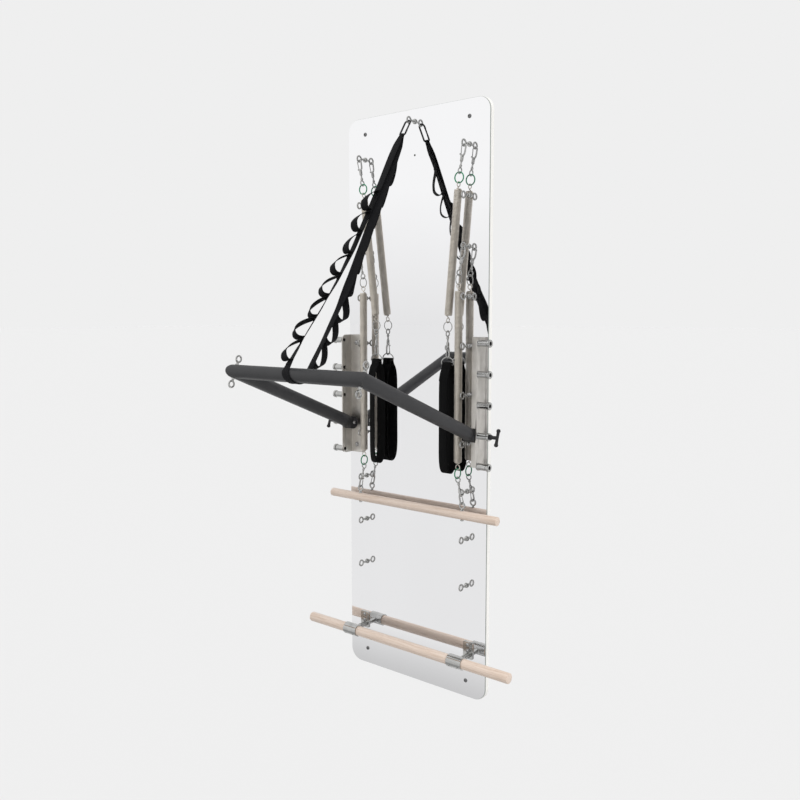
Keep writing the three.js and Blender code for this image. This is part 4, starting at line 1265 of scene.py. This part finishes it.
def add_pull_pin(side, sign, materials):
    shape = Shape()
    tip_x = PUSH_ARM_X + PUSH_TUBE_RADIUS - PIN_DEPTH_IN_PLUG
    shoulder_x = BRACKET_OUTER_X + SLEEVE_LENGTH + PIN_SHOULDER_GAP
    tip, shoulder, end = (
        Vector((sign * x, -SLEEVE_REACH, PIVOT_Z)) for x in (tip_x, shoulder_x, PIN_HANDLE_X)
    )
    add_rod(shape, tip, end, PIN_RADIUS, PIN_SIDES, PIN_TIP_EDGE)
    add_turned(shape, shoulder, RIGHT * sign, PIN_SHOULDER_PROFILE, 32)
    tilt = math.radians(PIN_HANDLE_TILT)
    axis = Vector((0, math.sin(tilt), math.cos(tilt)))
    half = PIN_HANDLE_HALF
    ball = PIN_BALL_RADIUS
    profile = []
    for i in range(PIN_HANDLE_STEPS + 1):
        share = 2 * i / PIN_HANDLE_STEPS - 1
        distance = share * half
        edge = half - abs(distance)
        round_end = math.sqrt(max(ball * ball - (ball - min(edge, 2 * ball)) ** 2, 0.0))
        stem = PIN_STEM_RADIUS + PIN_STEM_SWELL * abs(share)
        radius = max(round_end, stem) if edge > ball else round_end
        profile.append((max(radius, PIN_POLE_RADIUS), distance))
    add_turned(shape, end, axis, profile, PIN_SIDES)
    piece = make_piece(f"pull_pin_t_{side}", shape, materials["black_metal"], sharp=SHARP_PIN)
    place(piece, f"pull_pin_{side}_body", "black_steel", f"pull_pin_{side}")


# Safety strap and carabiner, in the sloping plane from the top eye to the crossbar

TOP_EYE = Vector((0, -EYE_REACH, TOP_EYE_Z))
RISE = math.radians(PUSH_RISE)
CROSSBAR = Vector(
    (
        0,
        -SLEEVE_REACH - PUSH_ARM_LENGTH * math.cos(RISE),
        PIVOT_Z + PUSH_ARM_LENGTH * math.sin(RISE),
    )
)
STRAP_DIRECTION = (CROSSBAR - TOP_EYE).normalized()
STRAP_FRONT = Vector((0, STRAP_DIRECTION.z, -STRAP_DIRECTION.y))
CARABINER_TOP = EYE_RING_RADIUS - EYE_WIRE_RADIUS - CARABINER_WIRE - LINK_GAP
STRAP_FOOT = CARABINER_TOP + CARABINER_LENGTH
STRAP_REACH = (CROSSBAR - TOP_EYE).length


def carabiner_point(sideways, drop):
    return TOP_EYE + STRAP_DIRECTION * (CARABINER_TOP + drop) + RIGHT * sideways


def add_carabiner(materials):
    half = CARABINER_HALF_WIDTH
    corner = CARABINER_CORNER
    path = [carabiner_point(half, drop) for drop in CARABINER_LOWER_END]
    for centre_x, start in ((half - corner, 0), (-half + corner, -90)):
        for i in range(7):
            angle = math.radians(start - 90 * i / 6)
            drop = CARABINER_LENGTH - corner - corner * math.sin(angle)
            path.append(carabiner_point(centre_x + corner * math.cos(angle), drop))
    for i in range(1, 21):
        angle = math.pi * (1 - i / 20)
        path.append(carabiner_point(half * math.cos(angle), half - half * math.sin(angle)))
    path.append(carabiner_point(half, CARABINER_UPPER_END))
    nose_drop, nose_swell = CARABINER_NOSE
    frame_shape = Shape()
    add_tube(frame_shape, path, CARABINER_WIRE, 16)
    nose = carabiner_point(half, nose_drop)
    add_ball(frame_shape, nose, STRAP_DIRECTION, CARABINER_WIRE * nose_swell)
    metal_finish = materials["black_metal"]
    add_piece("carabiner_frame", frame_shape, metal_finish, "tower", "black_steel", "carabiner")
    gate = Shape()
    path = [carabiner_point(half, drop) for drop in GATE_DROPS]
    add_tube(gate, path, GATE_WIRE, 16)
    add_ball(gate, path[-1], STRAP_DIRECTION, GATE_NOSE)
    pin = carabiner_point(half, GATE_PIN_DROP)
    reach = STRAP_FRONT * GATE_PIN_HALF
    add_rod(gate, pin - reach, pin + reach, GATE_PIN_RADIUS, 16, 0.2)
    add_piece("carabiner_gate_bar", gate, metal_finish, "gate", "black_steel", "carabiner_gate")


# Each strand: places along the strap, sideways, out from its line, and its twist
STRAND_FRONT = (
    (72, 0, 3.6, -8),
    (150, -1, 4, -4),
    (320, -2, -5, 4),
    (520, -5, -12, 10),
    (640, -8, -9, 24),
    (750, -12, 0, 42),
    (850, -15, 12, 40),
    (930, -17, 20.0, 20),
    (STRAP_REACH, -18, 24.0, 0),
)
STRAND_BACK = (
    (72, 0, -3.6, -8),
    (150, 3, -9, -25),
    (320, 12, -17, -40),
    (520, 20, -25, -42),
    (620, 23, -29, -30),
    (740, 24, -30, 8),
    (860, 23, -28, 16),
    (930, 22, -26, 10),
    (STRAP_REACH, 22, -24.0, 0),
)
# A slack loop between two seams: along the strap and out from it, in shares of the seams' pitch
LOOP_FORM = (
    (0.0, 0.0),
    (0.07, 0.05),
    (0.26, 0.20),
    (0.50, 0.33),
    (0.74, 0.38),
    (0.92, 0.31),
    (0.99, 0.19),
    (0.95, 0.07),
    (0.88, 0.0),
)


def strand_at(strand, along_strap):
    """The strand's place and its width direction at a distance along the strap."""
    for (s0, x0, h0, t0), (s1, x1, h1, t1) in zip(strand, strand[1:]):
        if along_strap <= s1:
            break
    share = min(max((along_strap - s0) / (s1 - s0), 0.0), 1.0)
    eased = share * share * (3 - 2 * share)
    sideways = x0 + (x1 - x0) * share
    out = h0 + (h1 - h0) * share
    twist = math.radians(t0 + (t1 - t0) * eased)
    centre = TOP_EYE + STRAP_DIRECTION * along_strap + RIGHT * sideways + STRAP_FRONT * out
    return centre, RIGHT * math.cos(twist) + STRAP_FRONT * math.sin(twist)


def strand_width(along_strap):
    share = min(max((along_strap - STRAP_FOOT) / STRAP_SPREAD, 0.0), 1.0)
    return STRAP_END_WIDTH + (STRAP_WIDTH - STRAP_END_WIDTH) * share


def on_face(strand, distance, outwards, lift):
    """A point lifted off one face of the strand, and the strand's width direction there."""
    centre, width = strand_at(strand, distance)
    normal = width.cross(STRAP_DIRECTION).normalized()
    if normal.dot(STRAP_FRONT) * outwards < 0:
        normal.negate()
    return centre + normal * lift, width


def add_strand_loop(shape, strand, start, pitch, outwards, stand_off):
    points = []
    across = []
    for step, (along_share, out_share) in enumerate(LOOP_FORM):
        lift = out_share * pitch * stand_off + STRAP_THICKNESS * LOOP_LIFT_SHARE
        point, width = on_face(strand, start + along_share * pitch, outwards, lift)
        points.append(point)
        yaw = math.radians(LOOP_YAW) * math.sin(math.pi * step / (len(LOOP_FORM) - 1))
        across.append(width * math.cos(yaw) + STRAP_DIRECTION * math.sin(yaw))
    path = smooth_path(points, LOOP_STEPS)
    turned = []
    for i in range(len(path)):
        place_on = min(i / LOOP_STEPS, len(across) - 1)
        low = int(place_on)
        high = min(low + 1, len(across) - 1)
        turned.append(across[low].lerp(across[high], place_on - low))
    widths = [STRAP_WIDTH * LOOP_WIDTH_SHARE] * len(path)
    add_band(shape, path, turned, widths, STRAP_THICKNESS)


def add_strand_loops(shape, strand, loops, outwards):
    """The daisy chain of one strand: slack loops, and a short flat of tape at each seam."""
    first, pitch, count = loops
    starts = [first + pitch * i for i in range(count)]
    middle, change, rhythm = LOOP_SPREAD
    for number, start in enumerate(starts):
        stand_off = middle + change * math.sin(number * rhythm)
        add_strand_loop(shape, strand, start, pitch, outwards, stand_off)
    lift = STRAP_THICKNESS * SEAM_LIFT_SHARE
    for start in [*starts, starts[-1] + pitch]:
        spots = [on_face(strand, start + distance, outwards, lift) for distance in SEAM_PLACES]
        path, across = zip(*spots)
        widths = [STRAP_WIDTH * SEAM_WIDTH_SHARE] * len(path)
        add_band(shape, path, across, widths, STRAP_THICKNESS)


def half_turn(centre, radius, steps, start_x, end_x, width, first):
    """A turn of tape from one strand to the other: place, width direction and width of each step."""
    turn = []
    for i in range(steps + 1):
        angle = math.pi * (1 - i / steps) if first else math.pi * i / steps
        along = -radius * math.sin(angle) if first else radius * math.sin(angle)
        sideways = start_x + (end_x - start_x) * i / steps
        point = centre + STRAP_DIRECTION * along + RIGHT * sideways
        turn.append((point + STRAP_FRONT * radius * math.cos(angle), RIGHT.copy(), width))
    return turn


def strand_run(strand, distances):
    return [(*strand_at(strand, distance), strand_width(distance)) for distance in distances]


def add_safety_strap(materials):
    """One closed loop of tape: over the carabiner, down the front, round the crossbar and back."""
    reach = STRAP_REACH - STRAP_FOOT
    distances = [STRAP_FOOT + reach * i / STRAND_STEPS for i in range(1, STRAND_STEPS)]
    foot = TOP_EYE + STRAP_DIRECTION * STRAP_FOOT
    foot_radius = CARABINER_WIRE + SEAT + STRAP_THICKNESS / 2
    wrap_radius = PUSH_TUBE_RADIUS + SEAT + STRAP_THICKNESS / 2 + WRAP_EXTRA
    wrap_ends = (STRAP_FRONT_X, STRAP_BACK_X)
    run = half_turn(foot, foot_radius, FOOT_STEPS, 0.0, 0.0, STRAP_END_WIDTH, True)
    run += strand_run(STRAND_FRONT, distances)
    run += half_turn(CROSSBAR, wrap_radius, WRAP_STEPS, *wrap_ends, STRAP_WIDTH, False)
    run += strand_run(STRAND_BACK, reversed(distances))
    path, across, widths = zip(*run)
    shape = Shape()
    add_band(shape, path, across, widths, STRAP_THICKNESS, True)
    add_strand_loops(shape, STRAND_FRONT, FRONT_LOOPS, 1)
    add_strand_loops(shape, STRAND_BACK, BACK_LOOPS, -1)
    piece = make_piece("daisy_chain_strap", shape, materials["strap"], SHARP_CLOTH)
    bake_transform(piece)
    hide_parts("safety_strap")


# Chains: each link has a middle, a hanging direction and two radii

def link(centre, direction, radius, wire):
    return {"centre": centre, "direction": direction, "radius": radius, "wire": wire}


def hang(upper, direction, radius, wire):
    contact = upper["centre"] + upper["direction"] * upper["radius"]
    reach = radius - upper["wire"] - wire - LINK_GAP
    return link(contact + direction * reach, direction, radius, wire)


def far_link(near, span, radius):
    centre = near["centre"] + near["direction"] * span
    return link(centre, near["direction"], radius, near["wire"])


def leaning(angle):
    """Downwards, leaning by an angle towards +X."""
    return Vector((math.sin(math.radians(angle)), 0, -math.cos(math.radians(angle))))


def across_wall(direction):
    return INTO_WALL.cross(direction).normalized()


def snap_hook(loop, direction, loop_normal, eye_normal):
    """A swivel bolt snap: bent nose, spring bolt with its thumb stud, body, neck and swivel eye."""
    loop_centre = loop["centre"]
    side = loop_normal.cross(direction).normalized()
    shape = Shape()

    def spot(sideways, drop):
        return loop_centre + side * sideways + direction * drop

    nose = arc(loop_centre, -side, direction, HOOK_LOOP_RADIUS, 0, -180, 20)
    root = smooth_path([spot(*place_on) for place_on in HOOK_ROOT], HOOK_ROOT_STEPS)
    path = root + nose + [spot(HOOK_LOOP_RADIUS, HOOK_TIP_DROP)]
    radii = [HOOK_WIRE * HOOK_ROOT_SHARE - HOOK_TAPER * i for i in range(HOOK_TAPER_STEPS)]
    radii += [HOOK_WIRE] * (len(path) - HOOK_TAPER_STEPS - len(HOOK_TIP_SHARES))
    radii += [HOOK_WIRE * share for share in HOOK_TIP_SHARES]
    add_tube(shape, path, HOOK_WIRE, 16, False, radii)
    bolt_tip, bolt_foot = HOOK_BOLT_ENDS
    add_rod(shape, spot(HOOK_LOOP_RADIUS, bolt_tip), spot(*bolt_foot), HOOK_BOLT_RADIUS, 14, 0.3)
    stud = spot(*HOOK_STUD)
    inwards, outwards, thumb = HOOK_STUD_REACH
    add_rod(shape, stud - side * inwards, stud + side * outwards, HOOK_STUD_RADIUS, 14, 0.2)
    add_ball(shape, stud + side * thumb, side, HOOK_THUMB_RADIUS, 18, 8, 0.6)
    add_turned(shape, loop_centre, direction, HOOK_BODY_PROFILE, 28)
    add_link(shape, spot(0.0, HOOK_SPAN), eye_normal, HOOK_EYE_RADIUS, HOOK_WIRE)
    return shape


def spring_path(span):
    """The spring's wire, hanging from the middle of its upper loop at the origin, and its radii."""
    start_angle, end_angle = SPRING_LOOP_TURN
    start = []
    for step in range(SPRING_LOOP_STEPS + 1):
        turned = (end_angle - start_angle) * step / SPRING_LOOP_STEPS
        angle = math.radians(start_angle + turned)
        start.append(Vector((0, math.sin(angle), math.cos(angle))) * SPRING_LOOP_RADIUS)
    coil_length = span - 2 * SPRING_LOOP_TO_COIL
    steps = int(coil_length / SPRING_PITCH) * SPRING_STEPS_PER_CURL
    taper = SPRING_TAPER_CURLS * SPRING_STEPS_PER_CURL
    coil = []
    for step in range(steps + 1):
        angle = step / SPRING_STEPS_PER_CURL * 2 * math.pi
        swell = min(min(step, steps - step) / taper, 1.0)
        share = SPRING_END_SHARE + (1 - SPRING_END_SHARE) * math.sin(swell * math.pi / 2)
        radius = SPRING_RADIUS * share
        drop = SPRING_LOOP_TO_COIL - SPRING_OVERLAP
        drop += (coil_length + 2 * SPRING_OVERLAP) * step / steps
        coil.append(Vector((radius * math.sin(angle), -radius * math.cos(angle), -drop)))
    end = [Vector((p.x, p.y, -span - p.z)) for p in reversed(start)]
    loop_radii = [SPRING_LOOP_WIRE] * len(start)
    return start + coil + end, loop_radii + [SPRING_WIRE] * len(coil) + loop_radii


def add_spring(name, top, loop_normal, span, node, material):
    """A closely wound spring from the upper ring to the lower one, baked in place on neither body."""
    centre = top["centre"]
    direction = top["direction"]
    across = loop_normal.cross(direction).normalized()
    facing = direction.cross(across).normalized()
    back = -direction
    points, radii = spring_path(span)
    path = [centre + facing * p.x + across * p.y + back * p.z for p in points]
    shape = Shape()
    add_tube(shape, path, SPRING_WIRE, SPRING_SIDES, False, radii)
    piece = make_piece(name, shape, material, SHARP_SPRING)
    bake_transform(piece)
    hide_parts(node)


def add_ring(name, kind, middle, normal, body, node, materials):
    wire, finish, slot = RINGS[kind]
    shape = Shape()
    add_link(shape, middle["centre"], normal, middle["radius"], wire, 56, 14)
    add_piece(name, shape, materials[finish], body, slot, node)


def add_d_ring(side, top_wire, materials):
    """A straight bar with round corners under a bow of half an ellipse."""
    bottom = top_wire + DOWN * D_RING_HEIGHT
    corner = D_RING_CORNER
    half = D_RING_HALF_WIDTH
    level = half - corner
    path = []
    for i in range(D_RING_BAR_STEPS + 1):
        path.append(bottom + RIGHT * (-half + corner + (2 * half - 2 * corner) * i / D_RING_BAR_STEPS))
    path += arc(bottom + RIGHT * level + UP * corner, RIGHT, UP, corner, -60, 0, 3)
    for i in range(2, D_RING_BOW_STEPS - 1):
        angle = math.pi * i / D_RING_BOW_STEPS
        rise = corner + (D_RING_HEIGHT - corner) * math.sin(angle)
        path.append(bottom + RIGHT * half * math.cos(angle) + UP * rise)
    path += arc(bottom - RIGHT * level + UP * corner, RIGHT, UP, corner, 180, 240, 3)
    shape = Shape()
    add_tube(shape, path, D_RING_WIRE, 14, True)
    body = f"handle_swing_{side}"
    add_piece(f"handle_d_ring_{side}", shape, materials["chrome"], body, "chrome", f"d_ring_{side}")


def add_handle(side, bar_centre, materials):
    """A sewn loop of wide tape, wrapped over the D ring's bar, with its tacked tab below the bar."""
    wrap = arc(Vector((0, 0, 0)), INTO_WALL, UP, HANDLE_WRAP_RADIUS, 0, 180, 8)
    front = [
        Vector((0, -share * HANDLE_HALF_DEPTH, -drop * HANDLE_LENGTH))
        for share, drop in zip(HANDLE_DEPTH_SHARES, HANDLE_DROP_SHARES)
    ]
    back = [Vector((0, -p.y, p.z)) for p in reversed(front)]
    bottom = Vector((0, 0, -HANDLE_LENGTH))
    lower = smooth_path([wrap[-1], *front, bottom, *back, wrap[0]], 8)
    path = [bar_centre + p for p in [*wrap[1:-1], *lower[:-1]]]
    shape = Shape()
    across = [handle_width_direction(side, p.y - bar_centre.y) for p in path]
    add_band(shape, path, across, [HANDLE_WIDTH] * len(path), HANDLE_THICKNESS, True)
    count = TAB_STEPS + 1
    widths = [HANDLE_WIDTH * TAB_WIDTH_SHARE] * count
    for face_side in (-1, 1):
        drops = [TAB_START + TAB_LENGTH * step / TAB_STEPS for step in range(count)]
        lift = INTO_WALL * face_side * HANDLE_THICKNESS * TAB_LIFT_SHARE
        tab = [nearest_on(path, bar_centre, drop, face_side) + lift for drop in drops]
        add_band(shape, tab, [RIGHT] * count, widths, TAB_THICKNESS)
    name = f"handle_tape_{side}"
    piece = make_piece(name, shape, materials["handle"], SHARP_CLOTH)
    place(piece, f"handle_swing_{side}", "webbing", f"handle_{side}")


def handle_width_direction(side, depth):
    """Along the wall, turned towards the room where the loop's front strip hangs twisted."""
    angle = math.radians(HANDLE_TWISTS[side]) * min(max(-depth / HANDLE_HALF_DEPTH, 0.0), 1.0)
    return RIGHT * math.cos(angle) - INTO_WALL * math.sin(angle)


def nearest_on(path, bar_centre, drop, face_side):
    """The handle's point at a drop below the bar, on its wall side or its room side."""
    on_side = [p for p in path if (p.y - bar_centre.y) * face_side > 0]
    return min(on_side, key=lambda p: abs(bar_centre.z - drop - p.z))


def hang_chain(unit, sign, spring_direction, low_direction):
    """Both hooks' loops, both rings and the spring's top, hung on each other from the wall eye."""
    _, kinds, span, row = UNITS[unit]
    top_wire, low_wire = (RINGS[kind][0] for kind in kinds)
    eye_middle = Vector((sign * EYE_COLUMN_X, -EYE_REACH, eye_row_z(row)))
    wall_eye = link(eye_middle, DOWN, EYE_RING_RADIUS, EYE_WIRE_RADIUS)
    top_loop = hang(wall_eye, leaning(-sign * TOP_HOOK_LEAN), HOOK_LOOP_RADIUS, HOOK_WIRE)
    top_eye = far_link(top_loop, HOOK_SPAN, HOOK_EYE_RADIUS)
    top_ring = hang(top_eye, spring_direction, RING_RADIUS, top_wire)
    spring_top = hang(top_ring, spring_direction, SPRING_LOOP_RADIUS, SPRING_LOOP_WIRE)
    spring_end = far_link(spring_top, span, SPRING_LOOP_RADIUS)
    low_ring = hang(spring_end, DOWN, RING_RADIUS, low_wire)
    low_eye = hang(low_ring, low_direction, HOOK_EYE_RADIUS, HOOK_WIRE)
    low_loop = far_link(low_eye, HOOK_SPAN, HOOK_LOOP_RADIUS)
    return top_loop, top_ring, spring_top, low_ring, low_loop


def add_unit(unit, side, bodies, links, hooks, normals, materials):
    """A hook, a ring, a spring, a ring and a hook. Each ring and the spring have a normal."""
    node, (top_kind, low_kind), span, _ = UNITS[unit]
    swing, pull = bodies
    top_ring, spring_top, low_ring = links
    top_hook, low_hook = hooks
    ring_normal, spring_normal = normals
    chrome = materials["chrome"]
    name = f"{unit}_upper_snap_{side}"
    add_piece(name, top_hook, chrome, swing, "chrome", f"{node}_top_hook_{side}")
    name = f"{unit}_{top_kind}_ring_{side}"
    add_ring(name, top_kind, top_ring, ring_normal, swing, f"{node}_top_ring_{side}", materials)
    name = f"{unit}_coil_{side}"
    spring_node = f"{node}_spring_{side}"
    add_spring(name, spring_top, spring_normal, span, spring_node, materials["spring"])
    name = f"{unit}_{low_kind}_ring_{side}"
    add_ring(name, low_kind, low_ring, ring_normal, pull, f"{node}_low_ring_{side}", materials)
    name = f"{unit}_lower_snap_{side}"
    add_piece(name, low_hook, chrome, pull, "chrome", f"{node}_low_hook_{side}")


def add_arm_unit(side, sign, materials):
    top_direction = leaning(-sign * TOP_HOOK_LEAN)
    spring_direction = leaning(-sign * ARM_SPRING_LEANS[side])
    top_loop, *links, low_loop = hang_chain("arm", sign, spring_direction, DOWN)
    top_hook = snap_hook(top_loop, top_direction, INTO_WALL, across_wall(top_direction))
    low_hook = snap_hook(low_loop, UP, RIGHT, RIGHT)
    bodies = (f"arm_swing_{side}", f"arm_pull_{side}")
    normals = (INTO_WALL, RIGHT)
    add_unit("arm", side, bodies, links, (top_hook, low_hook), normals, materials)
    d_top = hang(low_loop, DOWN, 0.0, D_RING_WIRE)["centre"]
    add_d_ring(side, d_top, materials)
    add_handle(side, d_top + DOWN * D_RING_HEIGHT, materials)


def add_roll_side(side, sign, materials):
    """One side of the roll-down unit. The middle of the eye that it holds is returned."""
    top_direction = leaning(-sign * TOP_HOOK_LEAN)
    low_direction = leaning(sign * ROLL_HOOK_LEAN)
    top_loop, *links, low_loop = hang_chain("roll", sign, DOWN, low_direction)
    top_hook = snap_hook(top_loop, top_direction, INTO_WALL, INTO_WALL)
    low_hook = snap_hook(low_loop, -low_direction, across_wall(low_direction), INTO_WALL)
    bodies = ("roll_down_swing", "roll_down_pull")
    normals = (RIGHT, INTO_WALL)
    add_unit("roll", side, bodies, links, (top_hook, low_hook), normals, materials)
    return hang(low_loop, DOWN, EYE_RING_RADIUS, EYE_WIRE_RADIUS)["centre"]


def add_roll_unit(materials):
    eyes = []
    for side, sign in SIDES.items():
        eyes.append(add_roll_side(side, sign, materials))
        add_roll_bar_eye(side, eyes[-1], materials)
    centre = eyes[0].lerp(eyes[1], 0.5) + DOWN * ROLL_EYE_RISE
    sizes = (ROLL_BAR_LENGTH, ROLL_BAR_RADIUS)
    add_round_bar("roll_down_dowel", centre, sizes, "roll_down_pull", "roll_down_bar", materials)


# Wooden bars and what holds them

def add_round_bar(name, centre, sizes, body, node, materials):
    length, radius = sizes
    edge = BAR_EDGE
    softened = [(radius - edge, 0), (radius - edge * BAR_EDGE_SHARE, edge * BAR_EDGE_SHARE), (radius, edge)]
    far_end = [(wide, length - distance) for wide, distance in reversed(softened)]
    shape = Shape()
    add_turned(shape, centre - RIGHT * length / 2, RIGHT, softened + far_end, 64)
    add_piece(name, shape, materials["maple"], body, "maple", node)


def add_roll_bar_eye(side, ring_centre, materials):
    foot = ring_centre + DOWN * (ROLL_EYE_RISE + ROLL_BAR_RADIUS + ROLL_SHANK_END)
    shape = eye_shape(ring_centre, DOWN, INTO_WALL, foot)
    top = ring_centre + DOWN * (ROLL_EYE_RISE - ROLL_BAR_RADIUS)
    washer_start, washer_end = (top + UP * height for height in ROLL_WASHER_HEIGHTS)
    add_rod(shape, washer_start, washer_end, BAR_WASHER_RADIUS, PIN_SIDES, WASHER_EDGE)
    under = ring_centre + DOWN * (ROLL_EYE_RISE + ROLL_BAR_RADIUS + ROLL_NUT_DROP)
    add_nut(shape, under, DOWN, BAR_NUT_FLATS, BAR_NUT_LENGTH)
    name = f"roll_bar_eye_bolt_{side}"
    node = f"roll_down_bar_eye_{side}"
    add_piece(name, shape, materials["chrome"], "roll_down_pull", "chrome", node)


def add_clamp(side, sign, materials):
    """The split sleeve round the foot bar with its two screws, and the stem to the plate."""
    centre = Vector((sign * HOLDER_X, -FOOT_BAR_REACH, FOOT_BAR_Z))
    inner = FOOT_BAR_RADIUS + SEAT
    outer = inner + HOLDER_SLEEVE_WALL
    half = HOLDER_SLEEVE_LENGTH / 2
    slot_half = math.degrees(math.asin(HOLDER_SEAM_WIDTH / 2 / outer))
    start = 90 + HOLDER_SEAM_TILT + slot_half
    end = 90 + HOLDER_SEAM_TILT + 360 - slot_half
    soft = HOLDER_EDGE
    rings = []
    for x, trim in ((-half, soft), (-half + soft, 0), (half - soft, 0), (half, soft)):
        middle = centre + RIGHT * x
        outside = arc(middle, INTO_WALL, UP, outer - trim, start, end, 56)
        rings.append(outside + arc(middle, INTO_WALL, UP, inner, end, start, 56))
    shape = Shape()
    add_skin(shape, rings)
    stem_end = Vector((sign * HOLDER_X, -SEAT - HOLDER_PLATE_THICKNESS / 2, FOOT_BAR_Z))
    stem_start = centre + INTO_WALL * (outer - HOLDER_STEM_SUNK)
    length = (stem_end - stem_start).length
    (start_flare, start_length), (end_flare, end_length) = HOLDER_STEM_FLARES
    stem = [
        (HOLDER_STEM_RADIUS + start_flare, 0),
        (HOLDER_STEM_RADIUS, start_length),
        (HOLDER_STEM_RADIUS, length - end_length),
        (HOLDER_STEM_RADIUS + end_flare, length),
    ]
    add_turned(shape, stem_start, INTO_WALL, stem, 36)
    out_share, down_share = HOLDER_SCREW_SHARES
    for step in (-1, 1):
        middle = centre + RIGHT * step * HOLDER_SCREW_X
        towards_room = INTO_WALL * (outer - HOLDER_SCREW_SUNK) * out_share
        screw = middle - towards_room - UP * outer * down_share
        out = (screw - middle).normalized()
        add_turned(shape, screw, out, HOLDER_SCREW_PROFILE, 24)
    piece = make_piece(f"bar_clamp_{side}", shape, materials["chrome"])
    place(piece, "tower", "bracket_steel", f"foot_bar_holder_{side}")


def add_foot_bar_holder(side, sign, materials):
    add_clamp(side, sign, materials)
    low_z, high_z = HOLDER_PLATE_Z
    front = -SEAT - HOLDER_PLATE_THICKNESS
    middle = (sign * HOLDER_X, (low_z + high_z) / 2)
    size = (HOLDER_PLATE_WIDTH, high_z - low_z)
    corner = HOLDER_PLATE_CORNER
    steps = HOLDER_PLATE_CORNER_STEPS
    depths = ((front, HOLDER_EDGE), (front + HOLDER_EDGE, 0), (-SEAT, 0))
    plate = Shape()
    add_skin(
        plate,
        [rounded_outline(*middle, *size, corner, corner - trim, steps, y) for y, trim in depths],
    )
    add_piece(f"bar_plate_{side}", plate, materials["chrome"], "tower", "bracket_steel")
    for row, z in enumerate(HOLDER_BOLTS_Z):
        head = Vector((sign * HOLDER_X, front, z))
        add_fastener(f"plate_bolt_{row + 1}_{side}", head, PLATE_BOLT, materials["bolt"])


def main():
    materials = make_materials()
    add_camera()
    add_room()
    add_floor()
    add_panel(materials)
    add_panel_screws(materials)
    add_wall_eyes(materials)
    add_push_bar(materials)
    add_carabiner(materials)
    add_safety_strap(materials)
    for side, sign in SIDES.items():
        add_bracket(side, sign, materials)
        add_push_bar_end(side, sign, materials)
        add_push_bar_eyes(side, sign, materials)
        add_pull_pin(side, sign, materials)
        add_arm_unit(side, sign, materials)
        add_foot_bar_holder(side, sign, materials)
    add_roll_unit(materials)
    foot_centre = Vector((0, -FOOT_BAR_REACH, FOOT_BAR_Z))
    sizes = (FOOT_BAR_LENGTH, FOOT_BAR_RADIUS)
    add_round_bar("foot_dowel", foot_centre, sizes, "tower", "foot_bar", materials)


main()
